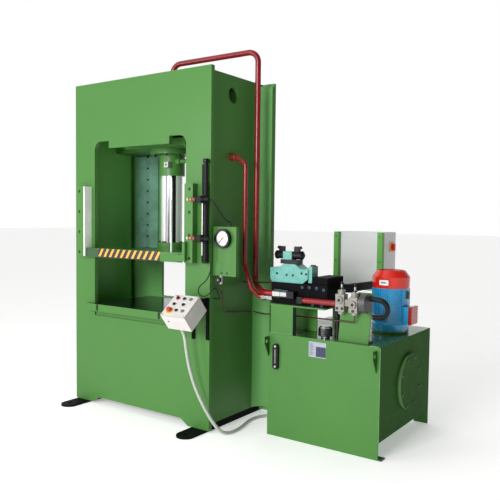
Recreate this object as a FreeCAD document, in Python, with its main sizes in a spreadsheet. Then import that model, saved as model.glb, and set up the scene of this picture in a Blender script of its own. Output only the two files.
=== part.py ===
"""Hydraulic H-frame press with its power pack, as a parametric FreeCAD document.

Row frame: millimetres, +Z up, the front of the press faces -Y, and the origin is the middle
of the four anchor holes at floor level. Every driving size is a cell of the sheet "Sizes".
"""
import FreeCAD
import Part
import math
import os
import re
import Sketcher

Vector = FreeCAD.Vector

SIZES = {
    # frame
    "frame_width": 1444, "frame_height": 2635, "frame_depth": 700, "front_thick": 36,
    "rear_thick": 25, "wall_thick": 25, "wall_reach": 700, "rear_width": 1620,
    "flare_radius": 95, "flare_land": 5, "tab_thick": 14, "crown_drop": 25, "top_thick": 25,
    "window_half": 490, "window_sill": 742, "window_head": 2105, "notch_head": 2162,
    "notch_half": 325, "notch_round": 70, "rear_window_half": 368,
    "rear_window_sill": 851, "arch_half": 452, "arch_foot": 520, "arch_height": 60,
    "lift_hole_radius": 60, "lift_hole_back": 291, "lift_hole_height": 2467,
    "seat_thick": 60, "seat_reach": 175, "seat_notch_back": 60, "seat_bottom": 2110, "bed_top": 783,
    "bed_thick": 60,
    "rib_offset": 210, "rib_thick": 30,
    "bolster_thick": 59, "bolster_half": 484, "lip_half": 560, "lip_reach": 36,
    # skids and anchors
    "skid_width": 140, "skid_height": 50, "anchor_x": 630, "anchor_y": 495,
    "anchor_hole_radius": 14,
    # guides
    "rail_inner": 540, "rail_outer": 620, "rail_foot": 664, "rail_reach": 75,
    "rail_foot_thick": 22, "rail_bottom": 1232, "rail_top": 1800, "liner_thick": 11,
    "rear_guide_inner": 402, "rear_guide_outer": 656, "rear_guide_bottom": 1150, "rear_guide_top": 2100,
    "guide_gap": 0.5, "rail_bolt_x": 590, "rail_bolt_pitch": 165, "rail_bolt_first": 1265,
    "bolt_radius": 6, "bolt_head_radius": 10, "bolt_head": 10,
    # cylinder and ram
    "ram_y": 45, "barrel_radius": 105, "bore_radius": 92, "barrel_bottom": 1895,
    "barrel_top": 2540, "barrel_cap": 50, "flange_rim": 74, "flange_thick": 45,
    "flange_pitch": 42, "gland_height": 55, "rod_radius": 88, "run_gap": 0.05,
    "piston_height": 70, "piston_gap": 0.1, "stroke_room": 5, "stud_radius": 8,
    "stud_head_radius": 14, "stud_head": 12,
    # slide
    "slide_bottom": 1229, "slide_thick": 52, "bar_height": 71, "bar_reach": 60,
    "platen_half": 478, "ear_depth": 100, "neck_radius": 111, "neck_height": 30,
    "ring_radius": 120, "ring_height": 40, "ring_pitch_radius": 102,
    "stroke_rod_radius": 7, "stroke_rod_x": 372, "stroke_rod_top": 1712,
    # switches
    "tube_x": 700, "tube_radius": 19, "tube_bottom": 1242, "tube_top": 1965,
    "tube_stand_off": 7, "lower_switch": 1412, "upper_switch": 1686, "switch_y": 445,
    "switch_radius": 12, "plunger_radius": 5.7, "plunger_bore": 6, "plunger_tip": 580,
    # gauge
    "panel_width": 225, "panel_bottom": 1145, "panel_height": 350, "panel_depth": 35,
    "panel_sheet": 4, "gauge_x": 818, "gauge_height": 1412,
    "gauge_radius": 66, "needle_rest": 135, "dial_radius": 54, "gauge_depth": 28, "dial_recess": 12,
    "knob_x": 782, "knob_height": 1116, "knob_radius": 21,
    # pipes
    "pipe_radius": 22, "rod_pipe_radius": 17, "pilot_radius": 5, "port_y": 88,
    "port_height": 2008, "pipe_bend": 80,
    # console
    "console_width": 220, "console_depth": 207, "console_height": 138, "console_sheet": 3,
    "console_tilt": 38.7, "console_right": 709, "console_gap": 15.7, "console_foot": 893.3,
    "device_hole": 11.2, "device_shaft": 10.8, "bezel_radius": 15, "bezel_height": 5,
    "stem_depth": 14, "cap_proud": 4, "mushroom_radius": 20, "mushroom_height": 14,
    "mushroom_lift": 8,
    # power pack
    "tank_left": 1065, "tank_width": 857, "tank_front": 105, "tank_depth": 940,
    "tank_top": 740, "tank_floor": 112, "tank_sheet": 6, "foot_width": 110,
    "manhole_y": 400, "manhole_height": 420, "manhole_radius": 200, "cover_thick": 12,
    "cover_pitch_radius": 172, "neck_thick": 14,
    "manifold_left": 1060, "manifold_right": 1510, "manifold_lift": 210,
    "manifold_height": 153, "manifold_front": 60, "base_thick": 10,
    "valve_left": 1041, "valve_right": 1350, "valve_height": 133, "valve_half_depth": 55,
    "motor_x": 1740, "motor_y": 495, "motor_radius": 126, "fin_radius": 135,
    "motor_length": 309, "cover_height": 125, "ring_gap": 17,
    "shaft_radius": 14, "pump_rim_radius": 75, "shaft_gap": 0.05, "fan_radius": 105, "fan_height": 30,
    "cabinet_left": 1109, "cabinet_right": 1533, "cabinet_front": 842,
    "cabinet_depth": 232, "cabinet_bottom": 984, "cabinet_top": 1455,
    "cabinet_sheet": 2, "door_thick": 18, "post_width": 41, "post_depth": 44,
    "hinge_radius": 6,
}

FRONT = "(-frame_depth / 2)"
FRONT_INNER = "(front_thick - frame_depth / 2)"
REAR_INNER = "(frame_depth / 2 - rear_thick)"
WALL_INNER = "(wall_reach - wall_thick)"
CROWN_TOP = "(frame_height - crown_drop)"
HEAD_JOINT = "(notch_head - notch_round - 1)"
BOLSTER_TOP = "(bed_top + bolster_thick)"
PLATEN_TOP = "(slide_bottom + slide_thick)"
RING_BOTTOM = "(slide_bottom + slide_thick + neck_height)"
RING_TOP = "(slide_bottom + slide_thick + neck_height + ring_height)"
SEAT_TOP = "(seat_bottom + seat_thick)"
TANK_RIGHT = "(tank_left + tank_width)"
TANK_REAR = "(tank_depth - tank_front)"
PANEL_BACK = "(frame_depth / 2 - front_thick - panel_depth)"
TAP_Y = "(front_thick - frame_depth / 2 + panel_depth / 2 + 0.5)"
FLANGE_RADIUS = "(barrel_radius + flange_rim)"
FLANGE_PITCH_RADIUS = "(barrel_radius + flange_pitch)"
MANIFOLD_BOTTOM = "(tank_top + manifold_lift)"
MANIFOLD_TOP = "(tank_top + manifold_lift + manifold_height)"
VALVE_TOP = "(tank_top + manifold_lift + manifold_height + valve_height)"
MOTOR_BOTTOM = "(tank_top + ring_gap)"
MOTOR_TOP = "(tank_top + ring_gap + motor_length)"
COVER_TOP = "(tank_top + ring_gap + motor_length + cover_height)"

doc = FreeCAD.newDocument("HydraulicPress")
sheet = doc.addObject("Spreadsheet::Sheet", "Sizes")
for row, (alias, number) in enumerate(SIZES.items(), start=1):
    sheet.set(f"A{row}", alias)
    sheet.set(f"B{row}", str(number))
    sheet.setAlias(f"B{row}", alias)
doc.recompute()

made = []


def bound(text):
    """An expression in which every size's name points at its cell."""
    return re.sub(r"[a-z]+(?:_[a-z]+)*", lambda m: "Sizes." + m[0] if m[0] in SIZES else m[0], str(text))


def size(name):
    return float(sheet.get(name))


def unused(name):
    """A document name that no object has yet."""
    number = 1
    while doc.getObject(f"{name}_{number}"):
        number += 1
    return f"{name}_{number}"


def move(thing, x=0, y=0, z=0):
    """Bind where an object stands."""
    for axis, text in zip("xyz", (x, y, z)):
        thing.setExpression(f"Placement.Base.{axis}", bound(text))
    return thing


def keep(thing, node):
    """Name an object as one sub-part of the press."""
    thing.Label = node
    made.append(thing)
    return thing


# ---------------------------------------------------------------- primitives and booleans
TURN = {
    "+z": FreeCAD.Rotation(),
    "-z": FreeCAD.Rotation(Vector(1, 0, 0), 180),
    "+x": FreeCAD.Rotation(Vector(0, 1, 0), 90),
    "-x": FreeCAD.Rotation(Vector(0, 1, 0), -90),
    "+y": FreeCAD.Rotation(Vector(1, 0, 0), -90),
    "-y": FreeCAD.Rotation(Vector(1, 0, 0), 90),
}


def block(x, y, z):
    """A box between two limits on each axis."""
    box = doc.addObject("Part::Box", unused("Block"))
    for side, (low, high) in zip(("Length", "Width", "Height"), (x, y, z)):
        box.setExpression(side, bound(f"({high}) - ({low})"))
    return move(box, x[0], y[0], z[0])


def cylinder(radius, length, at, way="+z"):
    """A round bar that starts at a point and runs one way."""
    bar = doc.addObject("Part::Cylinder", unused("Bar"))
    bar.setExpression("Radius", bound(radius))
    bar.setExpression("Height", bound(length))
    bar.Placement = FreeCAD.Placement(Vector(), TURN[way])
    return move(bar, *at)


def cone(low_radius, high_radius, length, at, way="+z"):
    taper = doc.addObject("Part::Cone", unused("Taper"))
    taper.setExpression("Radius1", bound(low_radius))
    taper.setExpression("Radius2", bound(high_radius))
    taper.setExpression("Height", bound(length))
    taper.Placement = FreeCAD.Placement(Vector(), TURN[way])
    return move(taper, *at)


def hexagon(radius, length, at, way="+z"):
    nut = doc.addObject("Part::Prism", unused("Hexagon"))
    nut.Polygon = 6
    nut.setExpression("Circumradius", bound(radius))
    nut.setExpression("Height", bound(length))
    nut.Placement = FreeCAD.Placement(Vector(), TURN[way])
    return move(nut, *at)


def join(*things):
    fused = doc.addObject("Part::MultiFuse", unused("Join"))
    fused.Shapes = list(things)
    fused.Refine = True
    return fused


def group(*things):
    """Separate solids that share one node."""
    together = doc.addObject("Part::Compound", unused("Group"))
    together.Links = list(things)
    return together


def cut(base, *tools):
    result = doc.addObject("Part::Cut", unused("Cut"))
    result.Base = base
    result.Tool = tools[0] if len(tools) == 1 else group(*tools)
    result.Refine = True
    return result


# ---------------------------------------------------------------- bodies with sketches
PLANES = {"xy": "XY_Plane", "xz": "XZ_Plane", "yz": "YZ_Plane"}


def sketch(body, plane, points):
    """A closed outline whose corners are bound to expressions."""
    drawing = body.newObject("Sketcher::SketchObject", unused("Outline"))
    origin = [item for item in body.Origin.OriginFeatures if item.Role == PLANES[plane]][0]
    drawing.AttachmentSupport = [(origin, "")]
    drawing.MapMode = "FlatFace"
    count = len(points)
    start = [Vector(50 * math.cos(math.tau * i / count), 50 * math.sin(math.tau * i / count), 0)
             for i in range(count)]
    for i in range(count):
        drawing.addGeometry(Part.LineSegment(start[i], start[(i + 1) % count]))
    for i in range(count):
        drawing.addConstraint(Sketcher.Constraint("Coincident", i, 2, (i + 1) % count, 1))
    for i, (across, along) in enumerate(points):
        for kind, text, now in (("DistanceX", across, start[i].x), ("DistanceY", along, start[i].y)):
            index = drawing.addConstraint(Sketcher.Constraint(kind, -1, 1, i, 1, now))
            drawing.setExpression(f"Constraints[{index}]", bound(text))
    return drawing


def prism(plane, points, length, x=0, y=0, z=0):
    """A padded outline. An xy pad rises, an xz pad runs to -Y and a yz pad runs to +X."""
    body = doc.addObject("PartDesign::Body", unused("Body"))
    drawing = sketch(body, plane, points)
    pad = body.newObject("PartDesign::Pad", unused("Pad"))
    pad.Profile = drawing
    pad.setExpression("Length", bound(length))
    drawing.Visibility = False
    return move(body, x, y, z)


def turned(points, x=0, y=0, z=0, way="+z"):
    """A profile of (radius, height) corners turned about its own axis."""
    body = doc.addObject("PartDesign::Body", unused("Body"))
    drawing = sketch(body, "xz", points)
    spin = body.newObject("PartDesign::Revolution", unused("Turned"))
    spin.Profile = drawing
    spin.ReferenceAxis = (drawing, ["V_Axis"])
    spin.Angle = 360
    body.Placement = FreeCAD.Placement(Vector(), TURN[way])
    return move(body, x, y, z)


def pocket(body, plane, points, length):
    """Cut an outline out of a body, half of the length to each side of its plane."""
    drawing = sketch(body, plane, points)
    hole = body.newObject("PartDesign::Pocket", unused("Pocket"))
    hole.Profile = drawing
    hole.Midplane = True
    hole.setExpression("Length", bound(length))
    return hole


def round_edges(body, radius, wanted):
    """Fillet the edges of the body's last feature that a test picks by their middle."""
    doc.recompute()
    tip = body.Tip
    names = [f"Edge{i}" for i, edge in enumerate(tip.Shape.Edges, start=1)
             if wanted(edge.valueAt((edge.FirstParameter + edge.LastParameter) / 2), edge)]
    if not names:
        raise RuntimeError(f"{body.Name}: no edge to round")
    fillet = body.newObject("PartDesign::Fillet", unused("Fillet"))
    fillet.Base = (tip, names)
    fillet.setExpression("Radius", bound(radius))
    return fillet


# ---------------------------------------------------------------- round routes
def route(points, bend=None):
    """Straight runs joined by tangent arcs. With no bend each arc is as large as its runs allow."""
    corners = [Vector(*point) for point in points]
    edges = []
    radii = []
    last = corners[0]
    for before, here, after in zip(corners, corners[1:], corners[2:]):
        run_in = here - before
        run_out = after - here
        turn = run_in.getAngle(run_out)
        shorter = min(run_in.Length, run_out.Length)
        radius = bend if bend else 0.45 * shorter / math.tan(turn / 2)
        reach = radius * math.tan(turn / 2)
        start = here - run_in.normalize() * reach
        end = here + run_out.normalize() * reach
        inward = (run_out - run_in).normalize()
        middle = here + inward * (radius / math.cos(turn / 2) - radius)
        edges.append(Part.LineSegment(last, start).toShape())
        edges.append(Part.Arc(start, middle, end).toShape())
        radii.append(radius)
        last = end
    edges.append(Part.LineSegment(last, corners[-1]).toShape())
    return Part.Wire(edges), radii


def tube(points, radius, bend=None, name="Tube"):
    """A round solid along a route."""
    path, radii = route(points, bend)
    first = Vector(*points[1]) - Vector(*points[0])
    ring = Part.Wire([Part.makeCircle(radius, Vector(*points[0]), first)])
    solid = path.makePipeShell([ring], True, True)
    expected = math.pi * radius ** 2 * path.Length
    if abs(solid.Volume / expected - 1) > 0.002:
        raise RuntimeError(f"{name}: volume {solid.Volume:.0f}, expected {expected:.0f}")
    feature = doc.addObject("Part::Feature", unused("Tube"))
    feature.Shape = solid
    print(f"{name}: length {path.Length:.0f}, radii", [round(r) for r in radii])
    return feature


def bolts(places, way, radius, shank, head_radius, head):
    """Hexagon bolts: the shank starts at the seat under the head and runs against the way."""
    back = {"+x": "-x", "-x": "+x", "+y": "-y", "-y": "+y", "+z": "-z", "-z": "+z"}[way]
    return [join(hexagon(head_radius, head, at, way), cylinder(radius, shank, at, back)) for at in places]


def around(count, radius, x, y, z, first=0):
    """Places on a horizontal circle."""
    return [(f"{x} + {radius} * cos({first + 360 * i / count})",
             f"{y} + {radius} * sin({first + 360 * i / count})", z) for i in range(count)]


# ================================================================ frame
def rail_bolt_places():
    return [(f"{side} * rail_bolt_x", f"{FRONT} - rail_reach + bolt_head + 2",
             f"rail_bolt_first + {i} * rail_bolt_pitch") for side in (-1, 1) for i in range(4)]


def front_plate():
    """Flame-cut plates welded flush into one front: a head, two columns, a sill and two feet."""
    outer = "frame_width / 2"
    head = prism("xz", [
        (f"-{outer}", HEAD_JOINT), ("-window_half", HEAD_JOINT), ("-window_half", "notch_head"),
        ("-notch_half", "notch_head"), ("-notch_half", "window_head"),
        ("notch_half", "window_head"), ("notch_half", "notch_head"), ("window_half", "notch_head"),
        ("window_half", HEAD_JOINT), (outer, HEAD_JOINT), (outer, "frame_height"),
        (f"-{outer}", "frame_height"),
    ], "front_thick", y=FRONT_INNER)
    top = size("notch_head")
    half = size("window_half")
    round_edges(head, "notch_round", lambda p, e: abs(p.z - top) < 1 and abs(abs(p.x) - half) < 1)
    deep = (FRONT, FRONT_INNER)
    pieces = [head, block((f"-{outer}", outer), deep, ("arch_height", "window_sill"))]
    for side in (-1, 1):
        wide = ("window_half", outer) if side > 0 else (f"-{outer}", "-window_half")
        column = block(wide, deep, ("window_sill", HEAD_JOINT))
        holes = [cylinder("bolt_radius", "front_thick", (x, FRONT, z), "+y")
                 for x, y, z in rail_bolt_places() if x.startswith(f"{side} *")]
        pieces.append(cut(column, *holes))
        pieces.append(prism("xz", [
            (f"{side} * {outer}", "tab_thick"), (f"{side} * arch_foot", "tab_thick"),
            (f"{side} * arch_half", "arch_height"), (f"{side} * {outer}", "arch_height"),
        ], "front_thick", y=FRONT_INNER))
    keep(group(*pieces), "frame_front_plate")


def rear_plate():
    body = prism("xz", [
        ("-rear_width / 2", "tab_thick"), ("rear_width / 2", "tab_thick"),
        ("rear_width / 2", CROWN_TOP), ("-rear_width / 2", CROWN_TOP),
    ], "rear_thick", y="frame_depth / 2")
    pocket(body, "xz", [
        ("-rear_window_half", "rear_window_sill"), ("rear_window_half", "rear_window_sill"),
        ("rear_window_half", "window_head"), ("-rear_window_half", "window_head"),
    ], "3 * rear_thick")
    keep(body, "frame_rear_plate")


def side_wall(name, side):
    """A sheet that runs back from the front plate, and the bent one that flares out into the rear flange."""
    reach = f"{side} * wall_reach"
    inner = f"{side} * {WALL_INNER}"
    high = ("skid_height", f"{CROWN_TOP} - top_thick")
    bend_start = f"{REAR_INNER} - wall_thick - flare_radius - flare_land"
    across = (WALL_INNER, "wall_reach") if side > 0 else ("-wall_reach", f"-{WALL_INNER}")
    sheet = block(across, (FRONT_INNER, bend_start), high)
    body = prism("xy", [
        (inner, bend_start), (reach, bend_start), (reach, f"{REAR_INNER} - wall_thick"),
        (f"{side} * rear_width / 2", f"{REAR_INNER} - wall_thick"),
        (f"{side} * rear_width / 2", REAR_INNER), (inner, REAR_INNER),
    ], f"{high[1]} - skid_height", z="skid_height")
    back = size("frame_depth") / 2 - size("rear_thick")
    thick = size("wall_thick")
    wall = size("wall_reach")

    def upright(point, edge, x, y):
        return abs(abs(point.x) - x) < 0.5 and abs(point.y - y) < 0.5 and edge.Length > 1000

    round_edges(body, "flare_radius", lambda p, e: upright(p, e, wall, back - thick))
    round_edges(body, "flare_radius + wall_thick", lambda p, e: upright(p, e, wall - thick, back))
    way = "+x" if side > 0 else "-x"
    start = f"{side} * (wall_reach - 2 * wall_thick)"
    holes = [cylinder("lift_hole_radius", "4 * wall_thick",
                      (start, f"{FRONT} + lift_hole_back", "lift_hole_height"), way)]
    if side > 0:
        holes.append(cylinder("rod_pipe_radius + 4", "4 * wall_thick", (start, "-port_y", "port_height"),
                              way))
    keep(group(cut(sheet, *holes), body), name)


def crown_and_bed():
    across = (f"-{WALL_INNER}", WALL_INNER)
    deep = (FRONT_INNER, REAR_INNER)
    top = block(("-wall_reach", "wall_reach"), deep, (f"{CROWN_TOP} - top_thick", CROWN_TOP))
    port = cylinder("pipe_radius + 6", "3 * top_thick", (0, "ram_y", f"{CROWN_TOP} - 2 * top_thick"))
    keep(cut(top, port), "crown_top_plate")
    seat_deep = ("-seat_reach", REAR_INNER)
    seat = block(across, seat_deep, ("seat_bottom", SEAT_TOP))
    corners = [block(wide, ("-seat_reach - 1", "seat_notch_back"), ("seat_bottom - 1", f"{SEAT_TOP} + 1"))
               for wide in ((f"-{WALL_INNER} - 1", "-notch_half - 5"),
                            ("notch_half + 5", f"{WALL_INNER} + 1"))]
    bore = cylinder("barrel_radius + 0.5", "3 * seat_thick", (0, "ram_y", "seat_bottom - seat_thick"))
    studs = [cylinder("stud_radius", "seat_thick / 2", at)
             for at in around(8, FLANGE_PITCH_RADIUS, 0, "ram_y", "seat_bottom", 22.5)]
    keep(cut(seat, bore, *studs, *corners), "crown_seat_plate")
    plate = block(across, deep, ("bed_top - bed_thick", "bed_top"))
    tongue = block(("-window_half", "window_half"), (f"{FRONT} + front_thick / 3", FRONT_INNER),
                   ("window_sill", "bed_top"))
    ribs = [block((f"{side} * rib_offset - rib_thick / 2", f"{side} * rib_offset + rib_thick / 2"), deep,
                  ("arch_height", "bed_top - bed_thick")) for side in (-1, 1)]
    keep(join(plate, tongue, *ribs), "bed_plate")
    deck = block(("-bolster_half", "bolster_half"), (FRONT, f"{REAR_INNER} - wall_thick"),
                 ("bed_top", BOLSTER_TOP))
    lip = block(("-lip_half", "lip_half"), (f"{FRONT} - lip_reach", FRONT), ("bed_top", BOLSTER_TOP))
    keep(join(deck, lip), "bolster_plate")


def skids():
    """A bar on a round-ended foot plate under each side wall."""
    feet = []
    for side in (-1, 1):
        middle = f"{side} * anchor_x"
        half = "skid_width / 2"
        lane = (f"{middle} - {half}", f"{middle} + {half}")
        sole = block(lane, ("-anchor_y", "anchor_y"), (0, "tab_thick"))
        ends = [cylinder(half, "tab_thick", (middle, f"{end} * anchor_y", 0)) for end in (-1, 1)]
        bar = block(lane, (FRONT_INNER, REAR_INNER), (0, "skid_height"))
        holes = [cylinder("anchor_hole_radius", "3 * tab_thick", (middle, f"{end} * anchor_y", "-tab_thick"))
                 for end in (-1, 1)]
        feet.append(cut(join(sole, *ends, bar), *holes))
    keep(group(*feet), "skids")


def guides():
    rails = []
    liners = []
    for side in (-1, 1):
        body = prism("xy", [
            (f"{side} * rail_inner", FRONT), (f"{side} * rail_foot", FRONT),
            (f"{side} * rail_foot", f"{FRONT} - rail_foot_thick"),
            (f"{side} * rail_outer", f"{FRONT} - rail_foot_thick"),
            (f"{side} * rail_outer", f"{FRONT} - rail_reach"),
            (f"{side} * rail_inner", f"{FRONT} - rail_reach"),
        ], "rail_top - rail_bottom", z="rail_bottom")
        holes = []
        for x, y, z in rail_bolt_places():
            if x.startswith(f"{side} *"):
                holes.append(cylinder("bolt_radius + 0.5", "rail_reach", (x, f"{FRONT} - rail_reach", z),
                                      "+y"))
                holes.append(cylinder("bolt_head_radius + 2", "bolt_head + 2",
                                      (x, f"{FRONT} - rail_reach", z), "+y"))
        rails.append(cut(body, *holes))
        x = ("rail_inner - liner_thick", "rail_inner") if side > 0 else ("-rail_inner",
                                                                         "-rail_inner + liner_thick")
        liners.append(block(x, (f"{FRONT} - rail_reach", FRONT), ("rail_bottom", "rail_top")))
        x = ("rear_guide_inner", "rear_guide_outer")
        x = x if side > 0 else ("-rear_guide_outer", "-rear_guide_inner")
        liners.append(block(x, (f"{REAR_INNER} - wall_thick", REAR_INNER),
                            ("rear_guide_bottom", "rear_guide_top")))
    keep(group(*rails), "guide_rails")
    keep(group(*liners), "guide_liners")


def frame_bolts():
    rail = bolts(rail_bolt_places(), "-y", "bolt_radius", "rail_reach - bolt_head - 2 + front_thick / 2",
                 "bolt_head_radius", "bolt_head")
    flange = bolts(around(8, FLANGE_PITCH_RADIUS, 0, "ram_y", "seat_bottom - flange_thick", 22.5), "-z",
                   "stud_radius", "flange_thick + seat_thick / 2", "stud_head_radius", "stud_head")
    keep(group(*rail, *flange), "frame_bolts")


# ================================================================ cylinder and slide
def cylinder_parts():
    body = turned([
        ("bore_radius", "barrel_bottom"), ("barrel_radius", "barrel_bottom"),
        ("barrel_radius", "seat_bottom - flange_thick"), (FLANGE_RADIUS, "seat_bottom - flange_thick"),
        (FLANGE_RADIUS, "seat_bottom"), ("barrel_radius", "seat_bottom"),
        ("barrel_radius", "barrel_top"), ("0", "barrel_top"), ("0", "barrel_top - barrel_cap"),
        ("bore_radius", "barrel_top - barrel_cap"),
    ], y="ram_y")
    studs = [cylinder("stud_radius + 0.5", "3 * flange_thick", at)
             for at in around(8, FLANGE_PITCH_RADIUS, 0, "ram_y", "seat_bottom - 2 * flange_thick", 22.5)]
    keep(cut(body, *studs), "cylinder_barrel")
    keep(turned([
        ("rod_radius + run_gap", "barrel_bottom"), ("bore_radius - 0.02", "barrel_bottom"),
        ("bore_radius - 0.02", "barrel_bottom + gland_height"),
        ("rod_radius + run_gap", "barrel_bottom + gland_height"),
    ], y="ram_y"), "cylinder_gland")
    piston = "barrel_bottom + gland_height + stroke_room"
    keep(turned([
        ("0", PLATEN_TOP), ("rod_radius", PLATEN_TOP), ("rod_radius", piston),
        ("bore_radius - piston_gap", piston), ("bore_radius - piston_gap", f"{piston} + piston_height"),
        ("0", f"{piston} + piston_height"),
    ], y="ram_y"), "ram")


def slide():
    bar = block(("-rail_inner + liner_thick + guide_gap", "rail_inner - liner_thick - guide_gap"),
                (f"{FRONT} - bar_reach", f"{FRONT} - guide_gap"),
                ("slide_bottom", "slide_bottom + bar_height"))
    platen = block(("-platen_half", "platen_half"),
                   (f"{FRONT} - bar_reach / 2", f"{REAR_INNER} - wall_thick - ear_depth"),
                   ("slide_bottom", PLATEN_TOP))
    rear = block(("-rail_inner", "rail_inner"),
                 (f"{REAR_INNER} - wall_thick - ear_depth", f"{REAR_INNER} - wall_thick - guide_gap"),
                 ("slide_bottom", PLATEN_TOP))
    keep(join(bar, platen, rear), "slide_plate")
    ring = turned([
        ("rod_radius + run_gap", PLATEN_TOP), ("neck_radius", PLATEN_TOP), ("neck_radius", RING_BOTTOM),
        ("ring_radius", RING_BOTTOM), ("ring_radius", RING_TOP), ("rod_radius + run_gap", RING_TOP),
    ], y="ram_y")
    holes = [cylinder("bolt_radius + 0.5", "2 * (neck_height + ring_height)", at)
             for at in around(8, "ring_pitch_radius", 0, "ram_y", "slide_bottom")]
    keep(cut(ring, *holes), "ram_flange")
    keep(group(*bolts(around(8, "ring_pitch_radius", 0, "ram_y", RING_TOP), "+z", "bolt_radius",
                      "neck_height + ring_height", "bolt_head_radius + 2", "bolt_head")), "ram_flange_bolts")
    bar_top = "slide_bottom + bar_height"
    stem = cylinder("stroke_rod_radius", f"stroke_rod_top - {bar_top} - stroke_rod_radius",
                    ("stroke_rod_x", f"{FRONT} - 22", bar_top))
    tip = cone("stroke_rod_radius", "stroke_rod_radius / 2", "stroke_rod_radius",
               ("stroke_rod_x", f"{FRONT} - 22", "stroke_rod_top - stroke_rod_radius"))
    keep(join(stem, tip), "stroke_rod")
    front = (f"-switch_y - 10", f"-switch_y + 10")
    foot = block(("rail_inner - 70", "rail_inner - 14"), (front[0], f"{FRONT} - bar_reach"),
                 ("slide_bottom + 15", "slide_bottom + 60"))
    arm = block(("rail_inner - 70", "plunger_tip - 8"), front, ("slide_bottom + 15", "slide_bottom + 60"))
    cam = block(("plunger_tip - 32", "plunger_tip - 8"), front, ("slide_bottom + 60", "lower_switch - 27"))
    keep(join(foot, arm, cam), "striker_cam")


# ================================================================ switches
def switches():
    y = f"{FRONT} - tube_stand_off - tube_radius"
    neck = "tube_top - 160"
    tube_low = cylinder("tube_radius", f"{neck} - tube_bottom", ("tube_x", y, "tube_bottom"))
    tube_high = cylinder("tube_radius - 4", "160", ("tube_x", y, neck))
    cap = cylinder("tube_radius + 2", "20", ("tube_x", y, "tube_top - 20"))
    feet = [block(("tube_x - 10", "tube_x + 10"), (f"{FRONT} - tube_stand_off - 6", FRONT),
                  (f"{z} - 15", f"{z} + 15"))
            for z in ("tube_bottom + 45", "tube_top - 200")]
    rail = join(tube_low, tube_high, cap, *feet)
    strip = block(("tube_x - tube_radius - 16", "tube_x - tube_radius"), (f"{y} - 3", f"{y} + 3"),
                  ("tube_bottom", "tube_top - 30"))
    keep(group(rail, strip), "sensor_rail")
    bodies = []
    for z in ("lower_switch", "upper_switch"):
        clamp = block(("tube_x - 12", "tube_x + 24"), ("-switch_y - 18", f"{y} - tube_radius"),
                      (f"{z} - 26", f"{z} + 26"))
        barrel = cylinder("switch_radius", "140", ("plunger_tip + 66", "-switch_y", z), "+x")
        ferrule = cylinder("switch_radius + 3", "26", ("plunger_tip + 60", "-switch_y", z), "+x")
        nuts = [hexagon("switch_radius + 6", "12", (x, "-switch_y", z), "+x")
                for x in ("tube_x - 24", "tube_x + 24")]
        bore = cylinder("plunger_bore", "70", ("plunger_tip + 50", "-switch_y", z), "+x")
        bodies.append(cut(join(clamp, barrel, ferrule, *nuts), bore))
    keep(group(*bodies), "limit_switches")
    for name, z in (("switch_plunger_lower", "lower_switch"), ("switch_plunger_upper", "upper_switch")):
        stem = cylinder("plunger_radius", "102", ("plunger_tip + 8", "-switch_y", z), "+x")
        nose = cone("plunger_radius - 3", "plunger_radius + 2", "10", ("plunger_tip", "-switch_y", z), "+x")
        boot = cylinder("plunger_radius + 5", "38", ("plunger_tip + 10", "-switch_y", z), "+x")
        keep(join(stem, nose, boot), name)


# ================================================================ gauge
def gauge():
    left = "wall_reach"
    right = "wall_reach + panel_width"
    low = f"-{PANEL_BACK} - panel_depth"
    shell = block((left, right), (low, f"-{PANEL_BACK}"), ("panel_bottom", "panel_bottom + panel_height"))
    hollow = block((f"{left} + panel_sheet", f"{right} - panel_sheet"),
                   (f"{low} + panel_sheet", f"-{PANEL_BACK} + 1"),
                   ("panel_bottom + panel_sheet", "panel_bottom + panel_height - panel_sheet"))
    stem_hole = cylinder("8", "3 * panel_sheet", ("gauge_x", f"{low} - panel_sheet", "gauge_height"), "+y")
    keep(cut(shell, hollow, stem_hole), "gauge_panel")
    case = cylinder("gauge_radius", "gauge_depth", ("gauge_x", low, "gauge_height"), "-y")
    dial = cylinder("dial_radius", "dial_recess", ("gauge_x", f"{low} - gauge_depth", "gauge_height"), "+y")
    stem = cylinder("7.9", "20", ("gauge_x", low, "gauge_height"), "+y")
    pin = cylinder("1.5", "6", ("gauge_x", f"{low} - gauge_depth + dial_recess", "gauge_height"), "-y")
    keep(join(cut(case, dial), stem, pin), "gauge_case")
    hub = cylinder("5", "2", (0, 0, 0), "-y")
    hand = block((-1.5, 1.5), (-2, 0), (-14, "dial_radius - 9"))
    bore = cylinder("1.55", "8", (0, 2, 0), "-y")
    needle = cut(join(hub, hand), bore)
    needle.Placement = FreeCAD.Placement(Vector(), FreeCAD.Rotation(Vector(0, 1, 0), size("needle_rest")))
    needle.setExpression("Placement.Rotation.Angle", bound("-needle_rest"))
    move(needle, "gauge_x", f"{low} - gauge_depth + dial_recess - 3", "gauge_height")
    keep(needle, "gauge_needle")
    wheel = cylinder("knob_radius", "16", ("knob_x", f"{low} - 6", "knob_height"), "-y")
    bore = cylinder("5.05", "30", ("knob_x", low, "knob_height"), "-y")
    keep(cut(wheel, bore), "gauge_valve_knob")


# ================================================================ console
TILT_SIN = "sin(console_tilt)"
TILT_COS = "cos(console_tilt)"
CONSOLE_Y = f"({FRONT} - console_gap - console_depth * {TILT_COS})"
CONSOLE_Z = f"(console_foot - console_depth * {TILT_SIN})"
CONSOLE_X = "(console_right - console_width)"
DEVICES = {
    "emergency_stop": (0.24, 0.24), "selector_knob": (0.24, 0.82),
    "push_button_1": (0.50, 0.28), "push_button_2": (0.76, 0.28), "push_button_3": (0.24, 0.55),
    "push_button_4": (0.62, 0.56), "push_button_5": (0.50, 0.83), "push_button_6": (0.76, 0.83),
}


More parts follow.
